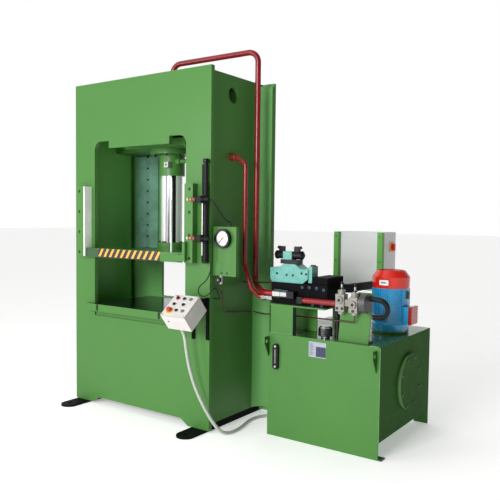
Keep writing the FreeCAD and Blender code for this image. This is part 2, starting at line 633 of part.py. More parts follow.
def tilted(thing):
    """Stand a piece that is drawn in the console's own frame on the tilted console."""
    thing.Placement = FreeCAD.Placement(Vector(), FreeCAD.Rotation(Vector(1, 0, 0), size("console_tilt")))
    thing.setExpression("Placement.Rotation.Angle", bound("console_tilt"))
    return move(thing, CONSOLE_X, CONSOLE_Y, CONSOLE_Z)


def console():
    body_top = "console_height - console_sheet"
    shell = block((0, "console_width"), (0, "console_depth"), (0, body_top))
    hollow = block(("console_sheet", "console_width - console_sheet"),
                   ("console_sheet", "console_depth - console_sheet"), ("console_sheet", "console_height"))
    spare = cylinder("8", "4 * console_sheet",
                     ("console_width * 0.2", "-console_sheet", "console_height * 0.55"), "+y")
    gland = join(hexagon("17", "8", ("console_width * 0.43", 27, 0), "-z"),
                 cylinder("13.5", "14", ("console_width * 0.43", 27, 0), "-z"))
    keep(tilted(join(cut(shell, hollow, spare), gland)), "console_box")
    lid = block((0, "console_width"), (0, "console_depth"), (body_top, "console_height"))
    bezels = []
    holes = []
    for across, along in DEVICES.values():
        x = f"console_width * {across}"
        y = f"console_depth * {along}"
        bezels.append(cylinder("bezel_radius", "bezel_height", (x, y, "console_height")))
        holes.append(cylinder("device_hole", "6 * bezel_height", (x, y, "console_height - 3 * bezel_height")))
    keep(tilted(cut(join(lid, *bezels), *holes)), "console_lid")
    for name, (across, along) in DEVICES.items():
        x = f"console_width * {across}"
        y = f"console_depth * {along}"
        face = "console_height + bezel_height"
        rise = "mushroom_lift" if name == "emergency_stop" else "cap_proud"
        shaft = cylinder("device_shaft", f"stem_depth + bezel_height + {rise}",
                         (x, y, "console_height - stem_depth"))
        if name == "emergency_stop":
            head = cone("mushroom_radius", "mushroom_radius - 5", "mushroom_height",
                        (x, y, f"{face} + {rise}"))
            shaft = join(shaft, head)
        if name == "selector_knob":
            grip = block((f"{x} - 4", f"{x} + 4"), (f"{y} - 13", f"{y} + 13"),
                         (f"{face} + {rise}", f"{face} + {rise} + 13"))
            disc = cylinder("bezel_radius - 1", "4", (x, y, f"{face} + 0.5"))
            shaft = join(shaft, grip, disc)
        if name.startswith("push_button"):
            crown = cone("device_shaft", "device_shaft - 1", "1", (x, y, f"{face} + {rise}"))
            shaft = join(shaft, crown)
        keep(tilted(shaft), name)
    pieces = []
    for x, low in (("console_right - 132", 674), ("console_right", 680)):
        high = "console_foot + 92"
        pieces.append(block((f"{x} - 12", f"{x} + 12"), (f"{FRONT} - 12", FRONT), (low, high)))
        slope = f"(console_gap + 92 * {TILT_SIN} / {TILT_COS})"
        gusset = prism("yz", [
            (f"{FRONT} - 11", "console_foot + 1"), (f"{FRONT} - console_gap", "console_foot + 1"),
            (f"{FRONT} - {slope}", high), (f"{FRONT} - 11", high),
        ], "8", x=f"{x} - 4")
        pieces.append(gusset)
    left = join(pieces[0], pieces[1])
    right = join(pieces[2], pieces[3])
    keep(group(left, right), "console_bracket")


# ================================================================ power pack
def tank():
    front = "-tank_front"
    wide = ("tank_left", TANK_RIGHT)
    deep = (front, TANK_REAR)
    shell = block(wide, deep, ("tank_floor", "tank_top"))
    hollow = block(("tank_left + tank_sheet", f"{TANK_RIGHT} - tank_sheet"),
                   (f"{front} + tank_sheet", f"{TANK_REAR} - tank_sheet"),
                   ("tank_floor + tank_sheet", "tank_top - 2 * tank_sheet"))
    skirts = [block(wide, (front, f"{front} + tank_sheet"), (0, "tank_floor")),
              block(wide, (f"{TANK_REAR} - tank_sheet", TANK_REAR), (0, "tank_floor"))]
    arch = block(("tank_left + foot_width", f"{TANK_RIGHT} - foot_width"),
                 (f"{TANK_REAR} - 2 * tank_sheet", f"{TANK_REAR} + tank_sheet"), (-1, "tank_floor - 20"))
    entry = cylinder("manhole_radius - 50", "6 * tank_sheet",
                     (f"{TANK_RIGHT} - 3 * tank_sheet", "manhole_y", "manhole_height"), "+x")
    pump_hole = cylinder("pump_rim_radius", "6 * tank_sheet",
                         ("motor_x", "motor_y", "tank_top - 3 * tank_sheet"))
    lugs = []
    for x in ("tank_left", f"{TANK_RIGHT} - 32"):
        plate = prism("yz", [
            (front, 575), (f"{front} - 10", 575), (f"{front} - 62", 672), (f"{front} - 62", 716),
            (front, 716),
        ], "12", x=x)
        eye = cylinder("16", "40", (f"{x} - 10", f"{front} - 33", 682), "+x")
        lugs.append(cut(plate, eye))
    keep(join(cut(join(shell, *skirts), hollow, arch, entry, pump_hole), *lugs), "tank_body")
    disc = cylinder("manhole_radius", "cover_thick", (f"{TANK_RIGHT} + neck_thick", "manhole_y",
                                                      "manhole_height"), "+x")
    neck = cut(cylinder("manhole_radius - 8", "neck_thick", (TANK_RIGHT, "manhole_y", "manhole_height"),
                        "+x"),
               cylinder("manhole_radius - 50", "3 * neck_thick",
                        (f"{TANK_RIGHT} - neck_thick", "manhole_y", "manhole_height"), "+x"))
    heads = [hexagon("13", "9", (f"{TANK_RIGHT} + neck_thick + cover_thick",
                                 f"manhole_y + cover_pitch_radius * cos({45 * i + 22.5})",
                                 f"manhole_height + cover_pitch_radius * sin({45 * i + 22.5})"), "+x")
             for i in range(8)]
    keep(join(disc, neck, *heads), "manhole_cover")


def pack_fittings():
    front = "-tank_front"
    level = join(block((1117, 1161), (f"{front} - 22", front), (509, 648)),
                 cylinder("22", "22", (1139, front, 509), "-y"), cylinder("22", "22", (1139, front, 648),
                                                                          "-y"))
    label = block((1401, 1535), (f"{front} - 2", front), (613, 719))
    breather = join(cylinder("30", "18", (1494, -40, "tank_top")),
                    cylinder("48", "62", (1494, -40, "tank_top + 18")),
                    cylinder("40", "8", (1494, -40, "tank_top + 80")))
    port = block((1798, 1838), (-48, -10), ("tank_top + 158", "tank_top + 198"))
    deck = size("tank_top")
    drain = tube([
        (size("manifold_right"), -15, deck + 238), (1545, -15, deck + 238), (1572, -15, deck + 150),
        (1572, -15, deck),
    ], 19, 32, "drain pipe")
    keep(group(level, label, breather, port, drain), "pack_fittings")


def pack_supports():
    base = block(("manifold_left + 10", "manifold_right"), (-97, 330),
                 (f"{MANIFOLD_BOTTOM} - base_thick", MANIFOLD_BOTTOM))
    legs = [block((1080, 1264), (-97, -51), ("tank_top", f"{MANIFOLD_BOTTOM} - base_thick")),
            block((1138, 1313), (160, 172), ("tank_top", f"{MANIFOLD_BOTTOM} - base_thick"))]
    bracket = prism("xz", [
        (1600, "tank_top"), (1820, "tank_top"), (1846, "tank_top + 338"), (1740, "tank_top + 338"),
        (1633, "tank_top + 195"), (1615, "tank_top + 190"),
    ], "12", y=-48)
    foot = block((1600, 1820), (-48, 20), ("tank_top", "tank_top + 12"))
    posts = [block((x, f"{x} + post_width"), ("cabinet_front - post_depth", "cabinet_front"),
                   ("tank_top", "cabinet_top")) for x in ("cabinet_left", "cabinet_right - post_width")]
    keep(group(join(base, *legs), join(bracket, foot), *posts), "pack_supports")


def manifold():
    low = block(("manifold_left", "manifold_right"), ("-manifold_front", 200),
                (MANIFOLD_BOTTOM, MANIFOLD_TOP))
    high = block((1384, 1500), ("-manifold_front + 20", 200), (MANIFOLD_TOP, f"{MANIFOLD_TOP} + 50"))
    keep(join(low, high), "manifold_block")


def valves():
    """The main directional valve with its pilot stage and two coils."""
    middle = "valve_half_depth - 50"
    deep = (f"{middle} - valve_half_depth", f"{middle} + valve_half_depth")
    low = MANIFOLD_TOP
    main = prism("xz", [
        ("valve_left + 14", low), ("valve_right - 40", low), ("valve_right", f"{low} + 34"),
        ("valve_right", f"{VALVE_TOP} - 34"), ("valve_right - 60", f"{VALVE_TOP} - 30"),
        ("valve_right - 105", VALVE_TOP), ("valve_left + 110", VALVE_TOP),
        ("valve_left + 70", f"{VALVE_TOP} - 30"), ("valve_left", f"{VALVE_TOP} - 30"),
        ("valve_left", f"{low} + 25"),
    ], "2 * valve_half_depth", y=deep[1])
    cap = block(("valve_right", "valve_right + 28"), (f"{deep[0]} + 12", f"{deep[1]} - 12"),
                (f"{low} + 8", f"{VALVE_TOP} - 10"))
    band = block(("valve_left + 74", "valve_left + 215"), (f"{middle} - 38", f"{middle} + 38"),
                 (VALVE_TOP, f"{VALVE_TOP} + 30"))
    pilot = block(("valve_left + 92", "valve_left + 164"), (f"{middle} - 34", f"{middle} + 34"),
                  (f"{VALVE_TOP} + 30", f"{VALVE_TOP} + 88"))
    coils = []
    for start, way in (("valve_left + 92", "-x"), ("valve_left + 164", "+x")):
        sign = way[0]
        centre = (middle, f"{VALVE_TOP} + 61")
        coil = cylinder("28", "56", (start, *centre), way)
        ends = (f"{start} - 46", f"{start} - 8") if sign == "-" else (f"{start} + 8", f"{start} + 46")
        plug = block(ends, (f"{middle} - 15", f"{middle} + 15"), (f"{VALVE_TOP} + 80", f"{VALVE_TOP} + 124"))
        tip = cylinder("14", "26", (f"{start} {sign} 56", *centre), way)
        coils.append(join(coil, plug, tip))
    keep(group(main, cap, band, pilot, *coils), "directional_valve")


def relief_valves():
    back = -60
    middle = back - 30
    pieces = []
    for x, wide, low, tall in ((1636, 62, 190, 162), (1733, 60, 188, 150)):
        foot = f"tank_top + {low}"
        high = f"tank_top + {low + tall}"
        body = block((x - wide / 2, x + wide / 2), (back - 60, back), (f"{foot} + 18", f"{high} - 30"))
        bonnet = cylinder(wide / 2 - 5, 26, (x, middle, f"{high} - 30"))
        stub = cylinder(wide / 2 - 8, 18, (x, middle, foot))
        screw = cylinder(7, 50, (x, middle, f"{high} - 4"))
        pieces.append(join(body, bonnet, stub, screw))
    link = block((1667, 1703), (middle - 18, middle + 18), ("tank_top + 245", "tank_top + 290"))
    axis = "tank_top + 278"
    drum = cylinder(65, 39, (1803, middle - 35, axis), "+x")
    spigot = cylinder(24, 50, (1753, middle, axis), "+x")
    seat = block((1803, 1842), (back - 35, back), ("tank_top + 220", "tank_top + 326"))
    keep(join(*pieces, link, drum, spigot, seat), "relief_valves")


def motor():
    centre = ("motor_x", "motor_y")
    inner = "fan_radius + 8"
    skin = turned([
        ("shaft_radius + shaft_gap", MOTOR_BOTTOM), ("motor_radius + 4", MOTOR_BOTTOM),
        ("fin_radius", f"{MOTOR_BOTTOM} + 50"), ("fin_radius - 6", f"{MOTOR_BOTTOM} + 62"),
        ("fin_radius - 6", MOTOR_TOP), ("shaft_radius + shaft_gap", MOTOR_TOP),
    ], *centre)
    box = block(("motor_x + fin_radius - 25", "motor_x + fin_radius + 48"), ("motor_y - 58", "motor_y + 58"),
                (f"{MOTOR_BOTTOM} + 58", f"{MOTOR_BOTTOM} + 178"))
    ring = turned([
        ("75", "tank_top"), ("motor_radius", "tank_top"), ("motor_radius", "tank_top + 9"),
        ("motor_radius + 8", "tank_top + 9"), ("motor_radius + 8", MOTOR_BOTTOM), ("75", MOTOR_BOTTOM),
    ], *centre)
    shaft_bore = cylinder("shaft_radius + shaft_gap", f"{MOTOR_TOP} - {MOTOR_BOTTOM} + 20",
                          ("motor_x", "motor_y", f"{MOTOR_BOTTOM} - 10"))
    keep(group(cut(join(skin, box), shaft_bore), ring), "motor_body")
    keep(turned([
        (inner, MOTOR_TOP), ("fin_radius - 2", MOTOR_TOP), ("fin_radius + 1", f"{COVER_TOP} - 46"),
        ("fin_radius - 32", COVER_TOP), ("0", COVER_TOP), ("0", f"{COVER_TOP} - 4"),
        ("fin_radius - 35", f"{COVER_TOP} - 4"), (inner, f"{COVER_TOP} - 40"),
    ], *centre), "motor_fan_cover")
    shaft = cylinder("shaft_radius", f"{MOTOR_TOP} + 60 - {MOTOR_BOTTOM} + 60",
                     (*centre, f"{MOTOR_BOTTOM} - 60"))
    hub = cylinder("fan_radius / 3", "fan_height", (*centre, f"{MOTOR_TOP} + 20"))
    disc = cylinder("fan_radius", "4", (*centre, f"{MOTOR_TOP} + 20"))
    blades = []
    for i in range(6):
        blade = block((0, "fan_radius"), (-2, 2), (0, "fan_height"))
        blade.Placement = FreeCAD.Placement(Vector(), FreeCAD.Rotation(Vector(0, 0, 1), 60 * i))
        blades.append(move(blade, *centre, f"{MOTOR_TOP} + 20"))
    keep(join(shaft, hub, disc, *blades), "motor_rotor")
    bell = cylinder("70", "110", (*centre, "tank_top - 110"))
    room = cylinder("24", "52", (*centre, "tank_top - 50"))
    pump = cylinder("48", "150", (*centre, "tank_top - 260"))
    suction = cylinder("20", "120", (*centre, "tank_top - 380"))
    strainer = cylinder("45", "130", (*centre, "tank_top - 500"))
    rim = turned([
        ("40", "tank_top"), ("75", "tank_top"), ("75", "tank_top - 14"), ("40", "tank_top - 14"),
    ], *centre)
    keep(cut(join(bell, pump, suction, strainer, rim), room), "pump_unit")


def cabinet():
    rear = "cabinet_front + cabinet_depth"
    wide = ("cabinet_left", "cabinet_right")
    tall = ("cabinet_bottom", "cabinet_top")
    shell = block(wide, ("cabinet_front", f"{rear} - door_thick"), tall)
    hollow = block(("cabinet_left + cabinet_sheet", "cabinet_right - cabinet_sheet"),
                   ("cabinet_front + cabinet_sheet", rear),
                   ("cabinet_bottom + cabinet_sheet", "cabinet_top - cabinet_sheet"))
    hole = cylinder("7", "12", ("cabinet_right - 6", "cabinet_front + 145", 1336), "+x")
    plate = block(("cabinet_right", "cabinet_right + 4"), ("cabinet_front + 107", "cabinet_front + 183"),
                  (1296, 1376))
    knuckles = []
    edge = "cabinet_left - hinge_radius"
    for z in ("cabinet_bottom + 60", "cabinet_top - 100"):
        knuckles.append(cylinder("hinge_radius", "18", (edge, f"{rear} - door_thick / 2", z)))
        knuckles.append(cylinder("3", "40", (edge, f"{rear} - door_thick / 2", z)))
        knuckles.append(block((edge, "cabinet_left - 0.5"), (f"{rear} - door_thick - 8",
                                                             f"{rear} - door_thick / 2"),
                              (z, f"{z} + 18")))
        knuckles.append(block((edge, "cabinet_left + 1"), (f"{rear} - door_thick - 8",
                                                           f"{rear} - door_thick"),
                              (z, f"{z} + 18")))
    keep(join(cut(join(shell, plate), hollow, hole), *knuckles), "cabinet_box")
    gap = "0.5"
    panel = block(("cabinet_left", "cabinet_right"), (f"{rear} - door_thick + {gap}", rear), tall)
    inside = block(("cabinet_left + 4", "cabinet_right - 4"), (f"{rear} - door_thick", f"{rear} - 3"),
                   ("cabinet_bottom + 4", "cabinet_top - 4"))
    ears = []
    pins = []
    for z in ("cabinet_bottom + 78.5", "cabinet_top - 81.5"):
        ears.append(cylinder("hinge_radius", "21", ("cabinet_left - hinge_radius",
                                                    f"{rear} - door_thick / 2", z)))
        ears.append(block(("cabinet_left - hinge_radius", "cabinet_left + 2"),
                          (f"{rear} - door_thick / 2", f"{rear} - door_thick / 2 + 5"), (z, f"{z} + 21")))
        pins.append(cylinder("3.05", "60", ("cabinet_left - hinge_radius", f"{rear} - door_thick / 2",
                                            f"{z} - 10")))
    keep(cut(join(cut(panel, inside), *ears), *pins), "cabinet_door")
    spindle = cylinder("6.95", "24", ("cabinet_right - 12", "cabinet_front + 145", 1336), "+x")
    boss = cylinder("22", "10", ("cabinet_right + 4.3", "cabinet_front + 145", 1336), "+x")
    grip = block(("cabinet_right + 4.3", "cabinet_right + 34"),
                 ("cabinet_front + 138", "cabinet_front + 152"),
                 (1308, 1364))
    keep(join(spindle, boss, grip), "isolator_knob")


# ================================================================ pipes and cords
def pipes():
    radius = size("pipe_radius")
    small = size("rod_pipe_radius")
    bend = size("pipe_bend")
    ram_y = size("ram_y")
    port = (size("wall_reach"), -size("port_y"), size("port_height"))
    left = size("manifold_left")
    deck = size("tank_top")
    crest = size("frame_height") + 163
    main = tube([
        (0, ram_y, size("barrel_top")), (0, ram_y, crest), (775, 150, crest + 28), (775, 150, deck + 305),
        (1010, -92, deck + 285), (left + 46, -92, deck + 285),
    ], radius, bend, "main pipe")
    rod = tube([
        (size("barrel_radius") + 1, 0, port[2]), (300, 0, port[2]), (560, port[1], port[2]),
        (755, port[1], port[2]), (838, port[1], port[2] - 58), (838, port[1], deck + 480),
        (898, -84, deck + 305),
        (932, -30, deck + 242), (left - 78, -30, deck + 242),
    ], small, 38, "rod side pipe")
    cross = cylinder("20", "265", (1340, -84, "tank_top + 253"), "+x")
    keep(group(main, rod, cross), "pressure_pipes")
    thin = size("pilot_radius")
    tap = (size("knob_x"), size("front_thick") - size("frame_depth") / 2 + size("panel_depth") / 2 + 0.5)
    gauge_line = tube([
        (*tap, size("panel_bottom") - 60), (*tap, size("panel_bottom") - 105),
        (722, -200, size("panel_bottom") - 130),
        (714, -165, deck + 120), (714, 60, deck + 98), (716, 200, deck + 86), (880, 104, deck + 92),
        (1050, 40, deck + 110), (1264, 15, deck + 122), (1556, -58, deck + 135), (1733, -90, deck + 140),
        (1733, -90, deck + 188),
    ], thin, 22, "gauge line")
    pilot_line = tube([
        (size("wall_reach"), 86, deck + 326), (750, 86, deck + 326),
        (left - 40, -10, deck + 350), (left, -10, deck + 350),
    ], thin, 22, "pilot line")
    keep(group(gauge_line, pilot_line), "pilot_pipes")


def pipe_fittings():
    port = ("wall_reach", "-port_y", "port_height")
    low = "manifold_left"
    wall_nut = cut(join(hexagon("rod_pipe_radius + 13", "20", port, "+x"),
                        cylinder("rod_pipe_radius + 9", "34", port, "+x")),
                   cylinder("rod_pipe_radius + 0.2", "80", ("wall_reach - 20", "-port_y", "port_height"),
                            "+x"))
    main_end = "tank_top + 285"
    rod_end = "tank_top + 242"
    rod_nut = cut(join(hexagon("26", "30", (f"{low} - 100", -30, rod_end), "+x"),
                       cylinder("22", "22", (f"{low} - 70", -30, rod_end), "+x"),
                       hexagon("25", "48", (f"{low} - 48", -30, rod_end), "+x")),
                  cylinder("rod_pipe_radius + 0.2", "30", (f"{low} - 107", -30, rod_end), "+x"))
    main_nut = cut(join(hexagon("31", "56", (f"{low} + 44", -92, main_end), "+x"),
                        hexagon("28", "58", (f"{low} + 100", -92, main_end), "+x"),
                        block((f"{low} + 158", f"{low} + 216"), (-116, "-manifold_front"),
                              (f"{main_end} - 24", f"{main_end} + 24"))),
                   cylinder("pipe_radius + 0.2", "5", (f"{low} + 42", -92, main_end), "+x"))
    elbow = block((1298, 1340), (-106, "-manifold_front"), ("tank_top + 230", "tank_top + 276"))
    square = block((28, 72), ("ram_y - barrel_radius - 24", "ram_y - barrel_radius + 20"), (1956, 2000))
    port_hole = cylinder("9", "12", (50, "ram_y - barrel_radius - 24", 1978), "+y")
    around_barrel = cylinder("barrel_radius + 0.1", "200", (0, "ram_y", 1900))
    block_on_barrel = cut(square, port_hole, around_barrel)
    elbow_boss = cut(cylinder("26", "44", ("barrel_radius - 14", 0, "port_height"), "+x"),
                     cylinder("barrel_radius + 0.1", "200", (0, "ram_y", 1900)),
                     cylinder("rod_pipe_radius + 0.2", "80", ("barrel_radius - 20", 0, "port_height"), "+x"))
    valve = join(cylinder("13", "60", ("knob_x", TAP_Y, "panel_bottom - 60")),
                 cylinder("5", "42", ("knob_x", TAP_Y, "knob_height"), "-y"))
    keep(group(wall_nut, main_nut, rod_nut, elbow, block_on_barrel, elbow_boss, valve), "pipe_fittings")


CORDS = {
    "console_conduit": (12.5, [
        (583.6, -497.3, 766.0), (583.6, -475, 738), (590, -463, 690), (601, -462, 610), (620, -455, 500),
        (652, -446, 390), (700, -436, 285), (756, -425, 190), (806, -400, 100), (842, -355, 32),
        (862, -290, 13), (868, -200, 13), (846, -85, 13), (812, 30, 13), (815, 150, 13), (880, 240, 13),
        (985, 262, 13), (1064, 262, 18), (1112, 262, 52), (1112, 262, 112),
    ]),
    "sensor_cable_upper": (4, [
        (786, -445, 1686), (804, -445, 1686), (828, -428, 1650), (848, -398, 1590), (862, -350, 1540),
        (868, -305, 1528), (870, -296, 1510), (870, -296, 1495),
    ]),
    "sensor_cable_lower": (4, [
        (786, -445, 1412), (804, -445, 1412), (816, -440, 1360), (808, -432, 1270), (790, -428, 1180),
        (752, -430, 1112), (706, -440, 1082), (690, -448, 1040), (720, -446, 1002), (766, -432, 1010),
        (800, -415, 1060), (812, -390, 1066), (806, -350, 1010), (780, -310, 975), (740, -290, 975),
        (700, -290, 975),
    ]),
    "motor_hose": (17, [
        (1842, -92, 1046), (1888, -92, 1046), (1932, -84, 1036), (1955, -72, 1000), (1950, -58, 955),
        (1918, -42, 926), (1876, -30, 918), (1838, -30, 918),
    ]),
}


def cords():
    for name, (radius, points) in CORDS.items():
        keep(tube(points, radius, None, name), name)


def build():
    front_plate()
    rear_plate()
    side_wall("side_wall_left", -1)
    side_wall("side_wall_right", 1)
    crown_and_bed()
    skids()
    guides()
    frame_bolts()
    cylinder_parts()
    slide()
    switches()
    gauge()
    console()
    tank()
    pack_fittings()
    pack_supports()
    manifold()
    valves()
    relief_valves()
    motor()
    cabinet()
    pipes()
    pipe_fittings()
    cords()
    doc.recompute()


def check():
    """Stop before anything is written if a feature failed or a shape is not sound."""
    failed = [item.Name for item in doc.Objects if {"Invalid", "Error"} & set(item.State)]
    if failed:
        raise RuntimeError(f"failed features: {failed}")
    for item in made:
        if item.Shape.isNull() or not item.Shape.isValid() or not item.Shape.Solids:
            raise RuntimeError(f"{item.Label}: no sound solid")


build()
check()
os.makedirs("parts", exist_ok=True)
for item in made:
    item.Shape.exportStep(f"parts/{item.Label}.step")
print(len(made), "sub-parts")
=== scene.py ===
"""Finishes, fitted detail, cords and stage for a guided hydraulic press with its power pack."""
import math

import bpy
from mathutils import Matrix, Vector


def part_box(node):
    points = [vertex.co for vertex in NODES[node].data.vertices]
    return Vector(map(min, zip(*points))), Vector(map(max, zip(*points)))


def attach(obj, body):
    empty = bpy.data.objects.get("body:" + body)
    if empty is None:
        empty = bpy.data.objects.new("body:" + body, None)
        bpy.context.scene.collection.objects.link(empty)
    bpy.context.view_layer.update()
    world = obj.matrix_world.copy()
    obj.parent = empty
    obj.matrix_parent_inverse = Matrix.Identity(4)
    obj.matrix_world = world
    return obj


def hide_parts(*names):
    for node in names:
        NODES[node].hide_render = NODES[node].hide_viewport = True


bl_info = {
    "name": "Guided hydraulic press",
    "version": (1, 0, 0),
    "blender": (4, 5, 0),
    "location": "View3D > Sidebar > Press",
    "description": "Dresses a guided hydraulic press and its power pack with finishes, fittings and cords",
    "category": "Object",
}

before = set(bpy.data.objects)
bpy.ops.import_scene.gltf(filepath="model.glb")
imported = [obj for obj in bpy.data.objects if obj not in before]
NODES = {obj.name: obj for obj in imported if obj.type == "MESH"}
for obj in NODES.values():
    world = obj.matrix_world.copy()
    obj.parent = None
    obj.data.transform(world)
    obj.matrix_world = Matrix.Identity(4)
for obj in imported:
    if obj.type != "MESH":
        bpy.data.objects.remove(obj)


# ---------------------------------------------------------------- settings
def colour(name, description, value):
    return bpy.props.FloatVectorProperty(
        name=name, description=description, default=value, size=3, min=0.0, max=1.0, subtype="COLOR")


def length(name, description, value):
    return bpy.props.FloatProperty(name=name, description=description, default=value, min=0.0, unit="LENGTH")


def angle(name, description, degrees):
    return bpy.props.FloatProperty(
        name=name, description=description, default=math.radians(degrees), subtype="ANGLE")


class PressColours(bpy.types.PropertyGroup):
    """Paint and plastic colours of the press and its power pack."""
    green: colour("Machine green", "Enamel on the press frame and the tank", (0.055, 0.178, 0.034))
    red: colour("Pipe red", "Enamel on the pressure pipes", (0.22, 0.003, 0.008))
    blue: colour("Motor blue", "Enamel on the motor body", (0.022, 0.330, 0.620))
    cover: colour("Fan cover red", "Enamel on the motor's fan cover", (0.62, 0.014, 0.006))
    valve: colour("Valve turquoise", "Enamel on the directional valve", (0.105, 0.355, 0.305))
    panel: colour("Cabinet grey", "Powder coat on the switch cabinet", (0.70, 0.71, 0.71))
    console: colour("Console grey", "Powder coat on the operator console", (0.62, 0.58, 0.57))
    black: colour("Black paint", "Satin paint on skids and manifold", (0.004, 0.004, 0.005))
    warning: colour("Stripe yellow", "Light bands of the hazard stripes", (0.70, 0.36, 0.04))


class PressSizes(bpy.types.PropertyGroup):
    """Sizes of the fitted detail."""
    stripe_pitch: length("Stripe pitch", "Distance from one hazard stripe to the next", 0.0616)
    stripe_left: length("Stripe band left", "Distance of the band's left end from the middle", 0.384)
    stripe_right: length("Stripe band right", "Distance of the band's right end from the middle", 0.294)
    conduit: length("Conduit diameter", "Outside diameter of the console's conduit", 0.025)
    cable: length("Cable diameter", "Outside diameter of the switch cables", 0.008)
    hose: length("Hose diameter", "Outside diameter of the relief hose", 0.034)


class StageSettings(bpy.types.PropertyGroup):
    """Camera, lights and floor."""
    lens: bpy.props.FloatProperty(name="Lens", description="Focal length", default=45.47, unit="CAMERA")
    turn: angle("Turn", "Camera's heading", 35.012)
    tilt: angle("Tilt", "Camera's dip below level", 2.972)
    roll: angle("Roll", "Camera's lean", 0.658)
    place: bpy.props.FloatVectorProperty(name="Camera place", description="Where the camera stands",
                                         default=(3.5328, -3.8674, 1.5646), subtype="TRANSLATION")
    floor: colour("Floor", "Colour of the floor", (0.86, 0.86, 0.85))


# ---------------------------------------------------------------- finishes
def feed(tree, socket, value):
    """Links an output to a socket, or sets the socket's own number or colour."""
    if isinstance(value, bpy.types.NodeSocket):
        tree.links.new(value, socket)
    else:
        socket.default_value = value


def add_node(tree, kind, **inputs):
    """A node whose inputs, named in the call, are each linked or set."""
    node = tree.nodes.new(kind)
    for name, value in inputs.items():
        feed(tree, node.inputs[name.replace("_", " ")], value)
    return node


def reckon(tree, kind, first, second=0.0):
    """One step of arithmetic on two numbers or outputs."""
    node = tree.nodes.new("ShaderNodeMath")
    node.operation = kind
    feed(tree, node.inputs[0], first)
    feed(tree, node.inputs[1], second)
    return node.outputs[0]


def along_axes(tree):
    """The X, Y and Z outputs of the object coordinates, and the coordinates themselves."""
    spot = tree.nodes.new("ShaderNodeTexCoord").outputs["Object"]
    return add_node(tree, "ShaderNodeSeparateXYZ", Vector=spot).outputs, spot


def base_colour(material):
    """The socket that takes a material's base colour."""
    return material.node_tree.nodes["Principled BSDF"].inputs["Base Color"]


def place_of(tree, scale=(1, 1, 1), turn=(0, 0, 0)):
    """Object coordinates, stretched and turned."""
    spot = tree.nodes.new("ShaderNodeTexCoord")
    return add_node(tree, "ShaderNodeMapping", Vector=spot.outputs["Object"], Scale=scale,
                    Rotation=turn).outputs["Vector"]


def noise(tree, where, scale, detail=3.0, roughness=0.5):
    return add_node(tree, "ShaderNodeTexNoise", Vector=where, Scale=scale, Detail=detail,
                    Roughness=roughness).outputs["Fac"]


def spread(tree, factor, low, high, start=0.3, end=0.7):
    """Maps a noise onto a range of values."""
    node = add_node(tree, "ShaderNodeMapRange", Value=factor)
    for index, value in enumerate((start, end, low, high), start=1):
        node.inputs[index].default_value = value
    return node.outputs["Result"]


def blend_colours(tree, factor, first, second):
    """Colours mixed by a factor; each may be a plain colour or an output socket."""
    node = tree.nodes.new("ShaderNodeMix")
    node.data_type = "RGBA"
    feed(tree, node.inputs["Factor"], factor)
    for socket, value in zip((node.inputs[6], node.inputs[7]), (first, second)):
        feed(tree, socket, value if isinstance(value, bpy.types.NodeSocket) else (*value[:3], 1))
    return node.outputs[2]


def ramp(tree, factor, stops, steps=True):
    """A colour ramp with (position, colour) stops."""
    node = tree.nodes.new("ShaderNodeValToRGB")
    node.color_ramp.interpolation = "CONSTANT" if steps else "LINEAR"
    tree.links.new(factor, node.inputs["Fac"])
    marks = node.color_ramp.elements
    while len(marks) < len(stops):
        marks.new(0.5)
    for mark, (position, value) in zip(marks, stops):
        mark.position = position
        mark.color = (*value[:3], 1)
    return node.outputs["Color"]


def shade(tone, factor):
    return tuple(min(1.0, channel * factor) for channel in tone[:3])


def finish(name, tone, roughness=0.4, metallic=0.0, coat=0.0, blotch=2.5, mottle=0.12, grain=350.0,
           relief=0.03, stretch=(1, 1, 1), rough_spread=0.08, dust=0.0, specular=0.5):
    """A painted, cast, plated or moulded surface: mottled colour, uneven gloss and fine relief."""
    material = bpy.data.materials.new(name)
    material.use_nodes = True
    tree = material.node_tree
    shader = tree.nodes["Principled BSDF"]
    shader.inputs["Metallic"].default_value = metallic
    shader.inputs["Coat Weight"].default_value = coat
    shader.inputs["Coat Roughness"].default_value = 0.12
    shader.inputs["Specular IOR Level"].default_value = specular
    where = place_of(tree, stretch)
    clouds = noise(tree, where, blotch, 5.0, 0.6)
    dull, bright = shade(tone, 1 - mottle), shade(tone, 1 + mottle)
    skin = blend_colours(tree, spread(tree, clouds, 0.0, 1.0), dull, bright)
    if dust:
        facing = tree.nodes.new("ShaderNodeNewGeometry")
        parts = add_node(tree, "ShaderNodeSeparateXYZ", Vector=facing.outputs["Normal"])
        settled = spread(tree, parts.outputs["Z"], 0.0, dust, 0.3, 1.0)
        skin = blend_colours(tree, settled, skin, (0.35, 0.34, 0.31))
    tree.links.new(skin, shader.inputs["Base Color"])
    wear = noise(tree, where, blotch * 7, 6.0, 0.65)
    uneven = spread(tree, wear, roughness - rough_spread, roughness + rough_spread)
    tree.links.new(uneven, shader.inputs["Roughness"])
    fine = noise(tree, where, grain, 2.0, 0.5)
    bump = add_node(tree, "ShaderNodeBump", Height=fine, Strength=relief, Distance=0.001)
    tree.links.new(bump.outputs["Normal"], shader.inputs["Normal"])
    return material


def banded(name, axis, stops, roughness=0.35, metallic=0.0, coat=0.2):
    """Separate colours along one axis: stops are (place in metres, colour), from low to high."""
    material = finish(name, stops[0][1], roughness, metallic, coat)
    tree = material.node_tree
    low, high = stops[0][0], stops[-1][0] + 0.01
    axes, spot = along_axes(tree)
    along = spread(tree, axes[axis], 0.0, 1.0, low, high)
    tint = ramp(tree, along, [((place - low) / (high - low), tone) for place, tone in stops])
    uneven = spread(tree, noise(tree, spot, 60.0), 0.0, 0.18)
    tree.links.new(blend_colours(tree, uneven, tint, (0.0, 0.0, 0.0)), base_colour(material))
    return material


